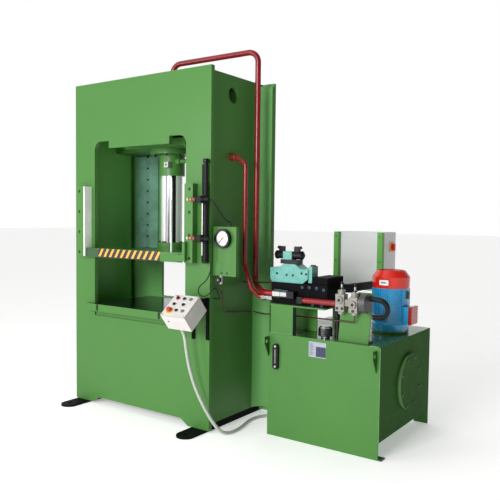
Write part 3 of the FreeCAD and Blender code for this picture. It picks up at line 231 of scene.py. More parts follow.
def polished_rod(name, middle_y):
    """Chrome with painted reflections: dark and bright streaks at fixed angles round the rod, which stands at x
    0 and middle_y.
    """
    bright, dark, black, grey = (0.88, 0.88, 0.90), (0.02, 0.02, 0.03), (0.015, 0.015, 0.02), (0.46, 0.46, 0.50)
    material = finish(name, bright, 0.20, metallic=0.30, coat=0.5, blotch=4, mottle=0.04, relief=0.0)
    tree = material.node_tree
    axes, _ = along_axes(tree)
    around = reckon(tree, "ARCTAN2", reckon(tree, "SUBTRACT", axes["Y"], middle_y), axes["X"])
    share = spread(tree, around, 0.0, 1.0, -math.pi, math.pi)
    deep = (0.008, 0.008, 0.012)
    # Painted reflections: bands of light and dark at fixed angles round the axis stand in for reflected light.
    streaks = [(0.0, bright), (0.258, (0.86, 0.86, 0.88)), (0.270, dark), (0.281, dark), (0.288, grey),
               (0.308, (0.40, 0.40, 0.44)), (0.315, black), (0.330, black), (0.336, bright), (0.354, bright),
               (0.360, deep), (0.422, deep), (0.429, bright), (0.80, (0.80, 0.80, 0.82)),
               (0.83, (0.10, 0.10, 0.11)), (0.87, (0.86, 0.86, 0.88))]
    tree.links.new(ramp(tree, share, streaks, steps=False), base_colour(material))
    return material


def striped(name, light, dark, pitch, lean, start):
    """Diagonal stripes across a band that runs along X."""
    dark_share = 0.59
    material = finish(name, light, 0.34, coat=0.25, blotch=14)
    tree = material.node_tree
    axes, spot = along_axes(tree)
    slanted = reckon(tree, "SUBTRACT", axes["X"], reckon(tree, "MULTIPLY", axes["Z"], lean))
    along = reckon(tree, "FRACT", reckon(tree, "DIVIDE", reckon(tree, "SUBTRACT", slanted, start), pitch))
    mask = reckon(tree, "GREATER_THAN", along, 1 - dark_share)
    scuffs = spread(tree, noise(tree, spot, 45.0, 6.0, 0.7), 0.0, 0.35, 0.55, 0.8)
    tint = blend_colours(tree, mask, light, dark)
    tree.links.new(blend_colours(tree, scuffs, tint, (0.10, 0.09, 0.07)), base_colour(material))
    return material


# ---------------------------------------------------------------- shapes
def deselect():
    if bpy.context.object and bpy.context.object.mode != "OBJECT":
        bpy.ops.object.mode_set(mode="OBJECT")
    bpy.ops.object.select_all(action="DESELECT")


def pick(piece):
    deselect()
    piece.select_set(True)
    bpy.context.view_layer.objects.active = piece


def apply_place(piece):
    pick(piece)
    bpy.ops.object.transform_apply(location=True, rotation=True, scale=True)
    return piece


def edit(piece):
    pick(piece)
    bpy.ops.object.mode_set(mode="EDIT")
    bpy.ops.mesh.select_all(action="SELECT")


def slab(low, high, edge=0.0, steps=2):
    """A block between two corners, its edges eased in edit mode."""
    low, high = Vector(low), Vector(high)
    deselect()
    bpy.ops.mesh.primitive_cube_add(size=1, location=(low + high) / 2, scale=high - low)
    piece = apply_place(bpy.context.object)
    if edge:
        edit(piece)
        bpy.ops.mesh.bevel(offset=edge, segments=steps, affect="EDGES")
        bpy.ops.object.mode_set(mode="OBJECT")
    return piece


def facing(place, way):
    """The matrix that stands a piece at a place with its own Z along a direction."""
    return Matrix.Translation(place) @ Vector((0, 0, 1)).rotation_difference(Vector(way)).to_matrix().to_4x4()


def turned(profile, centre=(0, 0, 0), way=(0, 0, 1), steps=48):
    """A turned piece: a disc extruded and resized through (radius, height) pairs."""
    deselect()
    first, height = profile[0]
    bpy.ops.mesh.primitive_circle_add(vertices=steps, radius=first, fill_type="NGON", location=(0, 0, height))
    piece = apply_place(bpy.context.object)
    edit(piece)
    radius = first
    for wide, high in profile[1:]:
        bpy.ops.mesh.extrude_region_move(TRANSFORM_OT_translate={"value": (0, 0, high - height)})
        bpy.ops.transform.resize(value=(wide / radius, wide / radius, 1))
        radius, height = wide, high
    bpy.ops.mesh.select_all(action="SELECT")
    bpy.ops.mesh.normals_make_consistent(inside=False)
    bpy.ops.object.mode_set(mode="OBJECT")
    piece.data.transform(facing(centre, way))
    pick(piece)
    bpy.ops.object.shade_smooth_by_angle(angle=math.radians(35))
    return piece


def bolt_head(radius, height):
    """A hexagon head with a chamfered crown, standing on the floor of its own frame."""
    return turned([(radius, 0), (radius, height * 0.8), (radius * 0.86, height)], steps=6)


def socket_head(radius, height):
    """A round cap screw with its hexagon socket."""
    return turned([(radius, 0), (radius, height * 0.9), (radius * 0.92, height), (radius * 0.55, height),
                   (radius * 0.52, height * 0.35)], steps=20)


def joined(pieces):
    """One piece from several."""
    deselect()
    for piece in pieces:
        piece.select_set(True)
    bpy.context.view_layer.objects.active = pieces[0]
    if len(pieces) > 1:
        bpy.ops.object.join()
    return bpy.context.object


def copies(piece, places):
    """Copies of a piece at a list of matrices, each with its own mesh, joined into one."""
    made = []
    for matrix in places:
        twin = piece.copy()
        twin.data = piece.data.copy()
        twin.data.transform(matrix)
        bpy.context.scene.collection.objects.link(twin)
        made.append(twin)
    bpy.data.objects.remove(piece)
    return joined(made)


def fit(piece, name, body, material):
    """Names a finished piece, gives it its finish and hands it to its body."""
    piece.name = name
    piece.data.name = name
    piece.data.materials.clear()
    piece.data.materials.append(material)
    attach(piece, body)
    return piece


def coat(node, material):
    """One finish all over a node of the frame."""
    data = NODES[node].data
    data.materials.clear()
    data.materials.append(material)
    for face in data.polygons:
        face.material_index = 0


def coat_where(node, material, test):
    """A second finish on the faces of a node whose middle and normal pass a test."""
    data = NODES[node].data
    data.materials.append(material)
    index = len(data.materials) - 1
    for face in data.polygons:
        if test(face.center, face.normal):
            face.material_index = index


# ---------------------------------------------------------------- the library of finishes
MADE = {}


def finishes(colours):
    green = tuple(colours.green)
    brushed = {"grain": 260, "relief": 0.05}
    satin = {**brushed, "coat": 0.05, "specular": 0.28}
    MADE.update(
        green=finish("Machine green enamel", green, 0.40, blotch=1.1, mottle=0.05, dust=0.06, **satin),
        tank=finish("Tank green enamel", shade(green, 1.06), 0.40, blotch=2.0, mottle=0.05, dust=0.06, **satin),
        # Painted shade: a darker copy of the green for upward faces of the tank and the front plate's sill.
        top=finish("Tank top enamel", shade(green, 0.62), 0.26, coat=0.2, specular=0.35, blotch=2.0,
                   mottle=0.10, grain=260, relief=0.04),
        # Painted shade: a darker copy of the green for the tank's and cover's right-hand faces.
        flank=finish("Tank side enamel", shade(green, 0.60), 0.50, specular=0.02, blotch=2.0, mottle=0.08,
                     **brushed),
        # Painted light: a lighter copy of the machine green for inner faces and the pack's rear supports.
        inner=finish("Inner face enamel", shade(green, 2.1), 0.42, blotch=1.1, mottle=0.06, **satin),
        # Painted light: a paler green standing in for light on the flare and the rear plate's front faces.
        flare=finish("Flare enamel", (0.15, 0.40, 0.12), 0.42, blotch=1.1, mottle=0.06, **satin),
        # Painted highlight: a paler green standing in for light caught on weld beads and the manhole rim.
        pale=finish("Worn edge enamel", (0.150, 0.340, 0.115), 0.34, coat=0.2, blotch=20, mottle=0.15),
        red=finish("Pipe red enamel", colours.red, 0.30, coat=0.15, blotch=9, mottle=0.15),
        pilot=finish("Pilot line enamel", (0.05, 0.006, 0.004), 0.30, coat=0.4, blotch=30, mottle=0.25),
        blue=finish("Motor blue enamel", colours.blue, 0.28, coat=0.4, blotch=14, mottle=0.12),
        cover=finish("Fan cover enamel", colours.cover, 0.25, coat=0.4, blotch=10, mottle=0.08),
        lid=finish("Terminal cover enamel", (0.42, 0.012, 0.012), 0.3, coat=0.4),
        valve=finish("Valve turquoise enamel", colours.valve, 0.42, coat=0.2, blotch=30, mottle=0.16,
                     grain=700, relief=0.25),
        casting=finish("Valve casting", (0.26, 0.25, 0.22), 0.55, metallic=0.3, blotch=40, mottle=0.22,
                       grain=900, relief=0.4),
        drum=finish("Coil housing", (0.075, 0.075, 0.08), 0.45, metallic=0.4, blotch=30, grain=800,
                    relief=0.2),
        panel=finish("Cabinet powder coat", colours.panel, 0.45, blotch=3, mottle=0.03, grain=1500,
                     relief=0.12),
        console=finish("Console powder coat", colours.console, 0.45, blotch=10, mottle=0.05, grain=2200,
                       relief=0.2),
        black=finish("Black satin paint", colours.black, 0.62, blotch=8, mottle=0.4, specular=0.06),
        plate=finish("Oiled ground plate", (0.018, 0.020, 0.022), 0.16, metallic=0.55, blotch=5, mottle=0.45,
                     stretch=(1, 12, 1), rough_spread=0.07),
        # Painted reflection: off-white non-metal colour standing in for light reflected by the polished liner.
        liner=finish("Polished guide liner", (0.86, 0.86, 0.85), 0.42, blotch=10, mottle=0.08, grain=300,
                     relief=0.06),
        guide=finish("Rear guide enamel", (0.150, 0.310, 0.230), 0.22, coat=0.6, blotch=6, mottle=0.25),
        dark_green=finish("Guide shoe enamel", (0.020, 0.075, 0.022), 0.35, coat=0.2, mottle=0.2),
        label=finish("Blank aluminium plate", (0.33, 0.35, 0.41), 0.42, metallic=0.5, blotch=60, mottle=0.1),
        # Painted shadow: near-black green standing in for the shade on the stand's right-hand faces.
        shadow=finish("Stand inner enamel", (0.012, 0.030, 0.012), 0.5, blotch=8, mottle=0.3),
        orange=finish("Isolator plate orange", (0.80, 0.30, 0.02), 0.35, coat=0.2, blotch=30, mottle=0.08),
        slate=finish("Nameplate dark field", (0.030, 0.045, 0.085), 0.45, metallic=0.3, blotch=160,
                     mottle=0.5),
        smoke=finish("Sight glass", (0.10, 0.13, 0.12), 0.12, coat=0.6, blotch=60, mottle=0.4),
        dark_chrome=finish("Breather chrome", (0.20, 0.20, 0.21), 0.18, metallic=1.0, blotch=60, mottle=0.3),
        bolt=finish("Blackened bolt steel", (0.045, 0.045, 0.05), 0.42, metallic=0.8, blotch=60, mottle=0.3),
        zinc=finish("Zinc plate", (0.47, 0.46, 0.44), 0.36, metallic=1.0, blotch=80, mottle=0.12),
        chrome=finish("Hard chrome", (0.86, 0.87, 0.89), 0.07, metallic=1.0, stretch=(1, 1, 0.1), blotch=30,
                      mottle=0.03, rough_spread=0.03, relief=0.0),
        # The ram's chrome has painted reflections in its colour.
        polished=polished_rod("Polished ram", RAM_Y),
        brass=finish("Turned brass", (0.62, 0.36, 0.10), 0.28, metallic=1.0, blotch=50, mottle=0.10),
        steel=finish("Turned steel", (0.42, 0.42, 0.44), 0.35, metallic=1.0, blotch=40, mottle=0.12),
        plastic=finish("Black moulded plastic", (0.006, 0.006, 0.007), 0.45, specular=0.2, blotch=40,
                       mottle=0.25, grain=1500, relief=0.12),
        gloss=finish("Black gloss cap", (0.004, 0.004, 0.005), 0.28, specular=0.3, blotch=60, mottle=0.2),
        olive=finish("Green gloss cap", (0.090, 0.170, 0.045), 0.20, coat=0.4, blotch=60, mottle=0.15),
        stop=finish("Stop button red", (0.50, 0.018, 0.010), 0.20, coat=0.5, blotch=60, mottle=0.10),
        rust=finish("Selector red brown", (0.20, 0.020, 0.012), 0.25, coat=0.3, blotch=60, mottle=0.15),
        yellow=finish("Signal yellow", (0.80, 0.45, 0.02), 0.35, coat=0.2, blotch=30, mottle=0.08),
        white=finish("White plastic", (0.85, 0.85, 0.83), 0.35, blotch=60, mottle=0.05),
        rubber=finish("Black rubber", (0.006, 0.006, 0.007), 0.5, specular=0.25, blotch=60, mottle=0.3,
                      grain=1800, relief=0.2),
        sheath=finish("Grey conduit sheath", (0.40, 0.43, 0.38), 0.42, blotch=50, mottle=0.10, grain=900,
                      relief=0.2),
        dial=finish("Dial white", (0.88, 0.88, 0.86), 0.45, blotch=40, mottle=0.02, relief=0.0),
        ink=finish("Dial ink", (0.012, 0.012, 0.014), 0.5, blotch=90, mottle=0.2, relief=0.0),
        seal=finish("Bronze bushing", (0.45, 0.27, 0.10), 0.35, metallic=1.0, blotch=30, mottle=0.1),
    )


def ease(piece, width, steps=2):
    """Rounds every sharp edge with a bevel modifier, applied."""
    pick(piece)
    rounding = piece.modifiers.new("Eased edges", "BEVEL")
    rounding.width = width
    rounding.segments = steps
    rounding.limit_method = "ANGLE"
    bpy.ops.object.modifier_apply(modifier=rounding.name)
    return piece


def ring(radius, height, thick, steps=48):
    """A flat ring with a rounded outer lip, standing on the floor of its own frame."""
    return turned([(radius, 0), (radius, height * 0.7), (radius - height * 0.3, height),
                   (radius - thick, height), (radius - thick, 0)], steps=steps)


def bead(points, radius, steps=3):
    """A weld bead along a line of places: a thin rod extruded from place to place with a wavy skin."""
    deselect()
    start = Vector(points[0])
    way = (Vector(points[1]) - start).normalized()
    bpy.ops.mesh.primitive_circle_add(vertices=8, radius=radius, fill_type="NGON")
    piece = bpy.context.object
    piece.data.transform(facing(start, way))
    edit(piece)
    for first, second in zip(points, points[1:]):
        run = Vector(second) - Vector(first)
        count = max(2, int(run.length / (radius * steps)))
        for number in range(count):
            bpy.ops.mesh.extrude_region_move(TRANSFORM_OT_translate={"value": tuple(run / count)})
            swell = 1.16 if number % 2 else 1 / 1.16
            bpy.ops.transform.resize(value=(swell,) * 3)
    bpy.ops.mesh.select_all(action="SELECT")
    bpy.ops.mesh.normals_make_consistent(inside=False)
    bpy.ops.object.mode_set(mode="OBJECT")
    bpy.ops.object.shade_smooth()
    return piece


# ---------------------------------------------------------------- places on the machine
RAM_Y = 0.045
GAUGE_X, GAUGE_Z, DIAL_Y = 0.818, 1.412, -0.3302
SWITCH_TUBE_X, SWITCH_TUBE_Y = 0.700, -0.376
RELIEF_X, RELIEF_Y = (1.636, 1.733), -0.090
MOTOR_X, MOTOR_Y = 1.740, 0.495
TANK_FRONT, TANK_RIGHT, TANK_TOP = -0.105, 1.922, 0.740
FRONT, BACK, LEFT, RIGHT, UP, DOWN = (0, -1, 0), (0, 1, 0), (-1, 0, 0), (1, 0, 0), (0, 0, 1), (0, 0, -1)

CONSOLE_WIDTH, CONSOLE_DEPTH, CONSOLE_HEIGHT = 0.220, 0.207, 0.138
CONSOLE_TILT = math.radians(38.7)
CONSOLE_REAR_EDGE = Vector((0.489, -0.350 - 0.0157, 0.8933))
CONSOLE_ORIGIN = CONSOLE_REAR_EDGE - Vector((0, CONSOLE_DEPTH * math.cos(CONSOLE_TILT),
                                             CONSOLE_DEPTH * math.sin(CONSOLE_TILT)))
CONSOLE_FRAME = Matrix.Translation(CONSOLE_ORIGIN) @ Matrix.Rotation(CONSOLE_TILT, 4, "X")
WORLD_TO_CONSOLE = CONSOLE_FRAME.inverted()


def above_console(spot):
    """Height of a place above the console's own base."""
    return (WORLD_TO_CONSOLE @ spot).z


def pilot_black(spot):
    """The coils, their plugs and the band between pilot and main stage."""
    band = 1.236 < spot.z < 1.2665
    coils = spot.z > 1.2665 and not 1.1325 < spot.x < 1.2055
    return band or coils


# ---------------------------------------------------------------- pieces
class PRESS_OT_finishes(bpy.types.Operator):
    """Give every part of the frame its paint, plate or plastic"""
    bl_idname = "press.finishes"
    bl_label = "Finishes"

    def execute(self, context):
        finishes(context.scene.press_colours)
        plain = {
            "green": ("frame_front_plate", "frame_rear_plate", "side_wall_left", "side_wall_right",
                      "crown_top_plate", "crown_seat_plate", "bed_plate", "guide_rails", "cylinder_barrel",
                      "slide_plate", "ram_flange", "gauge_panel", "striker_cam"),
            "tank": ("tank_body", "manhole_cover", "pack_supports"),
            "plate": ("bolster_plate",),
            "black": ("skids", "console_bracket", "manifold_block"),
            "plastic": ("sensor_rail", "limit_switches", "gauge_case", "gauge_needle"),
            "liner": ("guide_liners",),
            "bolt": ("frame_bolts", "ram_flange_bolts"),
            "seal": ("cylinder_gland",),
            "chrome": ("stroke_rod",),
            # The ram takes the chrome with painted reflections.
            "polished": ("ram",),
            "red": ("pressure_pipes",),
            "pilot": ("pilot_pipes",),
            "zinc": ("pipe_fittings", "pack_fittings"),
            "console": ("console_box", "console_lid"),
            "stop": ("emergency_stop",),
            "rust": ("selector_knob",),
            "gloss": ("push_button_1", "push_button_3", "push_button_4", "push_button_5", "gauge_valve_knob"),
            "olive": ("push_button_2", "push_button_6"),
            "valve": ("directional_valve",),
            "casting": ("relief_valves",),
            "blue": ("motor_body",),
            "cover": ("motor_fan_cover",),
            "steel": ("motor_rotor", "pump_unit"),
            "panel": ("cabinet_box", "cabinet_door"),
        }
        for key, names in plain.items():
            for name in names:
                coat(name, MADE[key])
        coat("isolator_knob", MADE["stop"])
        bolster_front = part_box("bolster_plate")[0].y + 0.02
        motor_flange_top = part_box("tank_body")[1].z + 0.018
        terminal_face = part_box("motor_body")[1].x - 0.004
        plate_face = TANK_FRONT - 0.0001
        lid_top = CONSOLE_HEIGHT + 0.0004
        second = (
            ("cabinet_box", "orange", lambda spot, way: spot.x > 1.5335),
            ("manhole_cover", "zinc", lambda spot, way: spot.x > 1.949),
            ("pipe_fittings", "gloss", lambda spot, way: spot.x > 1.2175),
            ("pipe_fittings", "steel", lambda spot, way: 1.161 < spot.x < 1.2175),
            ("pipe_fittings", "green", lambda spot, way: spot.z > 1.9 and 0.09 < spot.x < 0.3),
            ("pressure_pipes", "green", lambda spot, way: 1.9 < spot.z < 2.2 and 0.09 < spot.x < 0.70),
            # Painted light: the side walls' inner faces take the lighter green.
            ("side_wall_left", "inner", lambda spot, way: way.x > 0.9),
            ("side_wall_right", "inner", lambda spot, way: way.x < -0.9),
            # Painted light: the flare and the rear plate's front faces take the paler green.
            ("side_wall_right", "flare", lambda spot, way: way.y < -0.1 and spot.y > 0.1),
            ("frame_rear_plate", "flare", lambda spot, way: way.y < -0.9),
            # Painted shade: upward faces of the sill and the tank top take the darker green.
            ("frame_front_plate", "top", lambda spot, way: way.z > 0.9 and spot.z < 1.0),
            ("tank_body", "top", lambda spot, way: way.z > 0.9 and spot.z > 0.73),
            # Painted shade: the right-hand faces of the tank and manhole cover take the darker green.
            ("tank_body", "flank", lambda spot, way: way.x > 0.9),
            ("manhole_cover", "flank", lambda spot, way: way.x > 0.9),
            # Painted highlight: the cover's left rim takes the paler green.
            ("manhole_cover", "pale", lambda spot, way: way.x < 0.5 and way.y < -0.3 and spot.x < 1.949),
            # Painted light: the pack's supports behind the tank front take the lighter green.
            ("pack_supports", "inner", lambda spot, way: spot.y > 0.1),
            ("pack_fittings", "dark_chrome", lambda spot, way: spot.z > 0.741 and 1.4 < spot.x < 1.544),
            ("pipe_fittings", "rust", lambda spot, way: spot.z > 1.9 and 0.6 < spot.x < 0.8),
            ("bolster_plate", "green", lambda spot, way: way.y < -0.5 and spot.y < bolster_front),
            ("motor_body", "tank", lambda spot, way: spot.z < motor_flange_top),
            ("guide_liners", "guide", lambda spot, way: spot.y > 0),
            ("directional_valve", "gloss", lambda spot, way: pilot_black(spot)),
            ("motor_body", "lid", lambda spot, way: way.x > 0.9 and spot.x > terminal_face),
            ("pack_fittings", "plastic", lambda spot, way: spot.y < plate_face and spot.x < 1.3),
            ("pack_fittings", "label", lambda spot, way: spot.y < plate_face and spot.x > 1.3),
            ("pack_fittings", "gloss", lambda spot, way: spot.z > 0.741 and 1.54 < spot.x < 1.60
             or spot.z > 0.96),
            ("relief_valves", "drum", lambda spot, way: spot.x > 1.802),
            ("relief_valves", "zinc", lambda spot, way: spot.z > 1.085 and spot.x < 1.70
             or spot.z > 1.068 and 1.70 < spot.x < 1.76),
            ("console_lid", "zinc", lambda spot, way: above_console(spot) > lid_top),
            # Painted shadow: the stand's right-hand faces near the tank take the near-black green.
            ("pack_supports", "shadow", lambda spot, way: way.x > 0.9 and spot.x < 1.30 and spot.z < 0.95),
        )
        for node, key, test in second:
            coat_where(node, MADE[key], test)
        soot, copper, brown = (0.02, 0.02, 0.02), (0.62, 0.27, 0.05), (0.42, 0.10, 0.02)
        tips = banded("Switch tip", 0, [(0.580, soot), (0.586, (0.80, 0.80, 0.78)), (0.598, (0.03, 0.02, 0.02)),
                                        (0.607, brown), (0.619, copper), (0.628, (0.16, 0.04, 0.02)),
                                        (0.645, soot)])
        coat("switch_plunger_lower", tips)
        coat("switch_plunger_upper", tips)
        coat_where("limit_switches", MADE["rust"], lambda spot, way: spot.x < 0.662)
        return {"FINISHED"}


class PRESS_OT_hazard_band(bpy.types.Operator):
    """Lay the hazard stripes along the front edge of the slide"""
    bl_idname = "press.hazard_band"
    bl_label = "Hazard band"

    def execute(self, context):
        sizes, colours = context.scene.press_sizes, context.scene.press_colours
        low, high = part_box("slide_plate")
        left, right, lean = -sizes.stripe_left, sizes.stripe_right, 0.62
        band = slab((left, low.y - 0.0006, low.z + 0.001), (right, low.y, high.z - 0.001), 0.0002, 1)
        stripes = striped("Hazard stripes", colours.warning, (0.014, 0.013, 0.012), sizes.stripe_pitch, lean,
                          left - lean * low.z)
        fit(band, "hazard_band", "slide", stripes)
        # Painted shadow: a black strip along the band's bottom stands in for the shade under the slide.
        edge = slab((left, low.y - 0.0010, low.z + 0.0005), (right, low.y - 0.0004, low.z + 0.007), 0.0002, 1)
        fit(edge, "hazard_edge", "slide", MADE["ink"])
        return {"FINISHED"}


class PRESS_OT_guide_detail(bpy.types.Operator):
    """Screws and seams of the rear guides, welds of the rails, and the slide's end plate"""
    bl_idname = "press.guide_detail"
    bl_label = "Guide detail"

    def execute(self, context):
        pitch, rows, middle = 0.102, 9, 0.523
        spots = [facing((side * middle, 0.3002, 1.28 + pitch * row), FRONT)
                 for side in (-1, 1) for row in range(rows)]
        screws = copies(socket_head(0.0085, 0.007), spots)
        fit(screws, "rear_guide_screws", "frame", MADE["bolt"])
        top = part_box("guide_liners")[1].z
        seam = slab((-0.0015, 0.2998, 1.225), (0.0015, 0.3006, top - 0.004), 0.0003, 1)
        lines = [Matrix.Translation((side * middle + shift, 0, 0))
                 for side in (-1, 1) for shift in (-0.013, 0.013)]
        fit(copies(seam, lines), "rear_guide_seams", "frame", MADE["ink"])
        low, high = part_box("guide_rails")
        toe_x, toe_y = 0.6645, low.y + 0.073
        seams = [bead([(side * toe_x, toe_y, low.z), (side * toe_x, toe_y, high.z)], 0.004) for side in (-1, 1)]
        fit(joined(seams), "guide_rail_welds", "frame", MADE["green"])
        low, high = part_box("slide_plate")
        shoe = slab((-0.539, low.y - 0.0008, low.z + 0.001), (-0.386, low.y - 0.0001, high.z - 0.001),
                    0.0003, 1)
        fit(shoe, "slide_end_plate", "slide", MADE["dark_green"])
        return {"FINISHED"}


class PRESS_OT_bolster_detail(bpy.types.Operator):
    """Fit the two stop bars to the front edge of the bolster"""
    bl_idname = "press.bolster_detail"
    bl_label = "Bolster detail"

    def execute(self, context):
        low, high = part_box("bolster_plate")
        stop = ease(slab((-0.006, low.y - 0.009, low.z + 0.007), (0.006, low.y, high.z - 0.001)), 0.0015)
        spots = [Matrix.Translation((x, 0, 0)) for x in (-0.421, 0.263)]
        fit(copies(stop, spots), "bolster_stops", "frame", MADE["bolt"])
        return {"FINISHED"}


class PRESS_OT_dial(bpy.types.Operator):
    """Print the gauge's dial, fit its bezel, the needle's cap and the panel's screws"""
    bl_idname = "press.dial"
    bl_label = "Gauge dial"

    def execute(self, context):
        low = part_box("gauge_case")[0]
        centre = (GAUGE_X, DIAL_Y, GAUGE_Z)
        face = turned([(0.0535, 0), (0.0535, 0.0004), (0.002, 0.0004)], centre, FRONT, 64)
        fit(face, "gauge_dial", "frame", MADE["dial"])
        start, sweep, ticks = -135, 270, 40
        marks = []
        for step in range(ticks + 1):
            wide, inner = (0.001, 0.040) if step % 10 == 0 else (0.0005, 0.0445)
            tick = slab((-wide, -0.0009, inner), (wide, -0.0004, 0.049))
            turn = math.radians(start + step * sweep / ticks)
            tick.data.transform(Matrix.Translation(centre) @ Matrix.Rotation(turn, 4, "Y"))
            marks.append(tick)
        for step in range(0, ticks + 1, 10):
            marks.append(self.numeral(str(step), math.radians(start + step * sweep / ticks)))
        fit(joined(marks), "gauge_marks", "frame", MADE["ink"])
        bezel = turned([(0.0675, 0), (0.0690, 0.003), (0.0690, 0.010), (0.0660, 0.0135), (0.0555, 0.0135),
                        (0.0545, 0.010)], (GAUGE_X, low.y + 0.010, GAUGE_Z), FRONT, 64)
        self.open_ends(bezel)
        fit(bezel, "gauge_bezel", "frame", MADE["gloss"])
        cap = turned([(0.0065, 0), (0.0065, 0.0012), (0.004, 0.0022)], (GAUGE_X, -0.3351, GAUGE_Z), FRONT, 24)
        fit(cap, "needle_cap", "needle", MADE["brass"])
        spots = [facing((x, -0.3141, 1.166), FRONT) for x in (0.800, 0.846)]
        screws = copies(socket_head(0.006, 0.004), spots)
        fit(screws, "gauge_panel_screws", "frame", MADE["bolt"])
        return {"FINISHED"}

    def numeral(self, word, turn):
        """A number on the dial, upright, at an angle from the top."""
        deselect()
        bpy.ops.object.text_add()
        text = bpy.context.object.data
        text.body = word
        text.size = 0.016
        text.align_x = text.align_y = "CENTER"
        text.extrude = 0.0002
        bpy.ops.object.convert(target="MESH")
        number = bpy.context.object
        out = 0.033
        place = (GAUGE_X + out * math.sin(turn), DIAL_Y - 0.0006, GAUGE_Z + out * math.cos(turn))
        number.data.transform(Matrix.Translation(place) @ Matrix.Rotation(math.pi / 2, 4, "X"))
        return number

    def open_ends(self, piece):
        """Deletes the two round end faces of a turned ring."""
        edit(piece)
        bpy.ops.mesh.select_mode(type="FACE")
        bpy.ops.mesh.select_all(action="DESELECT")
        bpy.ops.object.mode_set(mode="OBJECT")
        for side in piece.data.polygons:
            side.select = len(side.vertices) > 8
        bpy.ops.object.mode_set(mode="EDIT")
        bpy.ops.mesh.delete(type="FACE")
        bpy.ops.object.mode_set(mode="OBJECT")


class PRESS_OT_switch_detail(bpy.types.Operator):
    """Add the silver track beside the switch tube and the tube's end plugs"""
    bl_idname = "press.switch_detail"
    bl_label = "Switch detail"

    def execute(self, context):
        low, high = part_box("sensor_rail")
        track = ease(slab((0.6700, -0.3852, 1.288), (0.6790, -0.3755, 1.716)), 0.0012)
        fit(track, "switch_track", "frame", MADE["zinc"])
        end = turned([(0.0195, 0), (0.0225, 0.003), (0.0225, 0.016), (0.0200, 0.020)], steps=40)
        spots = [facing((SWITCH_TUBE_X, SWITCH_TUBE_Y, high.z - 0.012), UP),
                 facing((SWITCH_TUBE_X, SWITCH_TUBE_Y, low.z + 0.012), DOWN)]
        fit(copies(end, spots), "switch_tube_ends", "frame", MADE["gloss"])
        return {"FINISHED"}


class PRESS_OT_valve_detail(bpy.types.Operator):
    """Socket screws, plug caps and end nuts on the directional valve, plugs on the manifold"""
    bl_idname = "press.valve_detail"
    bl_label = "Directional valve detail"

    def execute(self, context):
        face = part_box("directional_valve")[0].y + 0.0005
        heads = ((1.099, 1.165), (1.180, 1.158), (1.231, 1.158), (1.302, 1.175), (1.338, 1.172))
        screws = copies(socket_head(0.0085, 0.0035), [facing((x, face, z), FRONT) for x, z in heads])
        fit(screws, "valve_screws", "frame", MADE["ink"])
        spool_y, coil_z, cap_z = 0.005, 1.297, 1.342
        wing = ease(slab((-0.027, -0.016, -0.010), (0.027, 0.016, 0.010)), 0.003)
        spots = [Matrix.Translation((x, spool_y, cap_z)) @ Matrix.Rotation(math.radians(lean), 4, "Y")
                 for x, lean in ((1.099, 28), (1.239, -28))]
        fit(copies(wing, spots), "valve_plug_caps", "frame", MADE["gloss"])
        nut = turned([(0.024, 0), (0.031, 0.004), (0.031, 0.016), (0.020, 0.022), (0.012, 0.030)], steps=28)
        spots = [facing((1.077, spool_y, coil_z), LEFT), facing((1.261, spool_y, coil_z), RIGHT)]
        fit(copies(nut, spots), "valve_coil_nuts", "frame", MADE["gloss"])
        ports = ((1.315, 1.078), (1.372, 1.082), (1.430, 1.080), (1.485, 1.072), (1.400, 0.962), (1.470, 0.962))
        plugs = copies(socket_head(0.011, 0.005), [facing((x, -0.0600, z), FRONT) for x, z in ports])
        fit(plugs, "manifold_plugs", "frame", MADE["slate"])
        knob = bolt_head(0.020, 0.016)
        knob.data.transform(facing((1.364, spool_y, 1.220), UP))
        fit(knob, "valve_end_nut", "frame", MADE["drum"])
        return {"FINISHED"}


class PRESS_OT_relief_detail(bpy.types.Operator):
    """Lock nuts, caps and plugs on the two relief valves"""
    bl_idname = "press.relief_detail"
    bl_label = "Relief valve detail"

    def execute(self, context):
        left, right = RELIEF_X
        front = -0.1200
        spots = [facing((left, RELIEF_Y, 1.096), UP), facing((right, RELIEF_Y, 1.082), UP)]
        nuts = copies(bolt_head(0.016, 0.010), spots)
        fit(nuts, "relief_lock_nuts", "frame", MADE["bolt"])
        spots = [facing((left, RELIEF_Y, 1.128), UP), facing((right, RELIEF_Y, 1.114), UP)]
        caps = copies(turned([(0.009, 0), (0.009, 0.012), (0.007, 0.016)], steps=20), spots)
        fit(caps, "relief_caps", "frame", MADE["gloss"])
        boss = turned([(0.025, 0), (0.025, 0.008), (0.021, 0.012), (0.011, 0.012), (0.010, 0.004)], steps=28)
        spots = [facing((left, front, 1.024), FRONT), facing((right, front, 1.000), FRONT)]
        fit(copies(boss, spots), "relief_bosses", "frame", MADE["casting"])
        plug = turned([(0.0095, 0), (0.0095, 0.003), (0.005, 0.003), (0.005, 0.001)], steps=20)
        places = ((left - 0.018, front - 0.0001, 0.968), (left + 0.018, front - 0.0001, 0.968),
                  (right, front - 0.0001, 0.958))
        in_bosses = ((left, front - 0.0125, 1.024), (right, front - 0.0125, 1.000))
        spots = [*(facing(place, FRONT) for place in places), facing((1.6051, RELIEF_Y, 1.020), LEFT),
                 *(facing(place, FRONT) for place in in_bosses)]
        fit(copies(plug, spots), "relief_plugs", "frame", MADE["ink"])
        spots = [facing((x, -0.125, 1.018), RIGHT) for x in (1.806, 1.821, 1.836)]
        fit(copies(ring(0.0640, 0.004, 0.005), spots), "relief_drum_ribs", "frame", MADE["drum"])
        return {"FINISHED"}


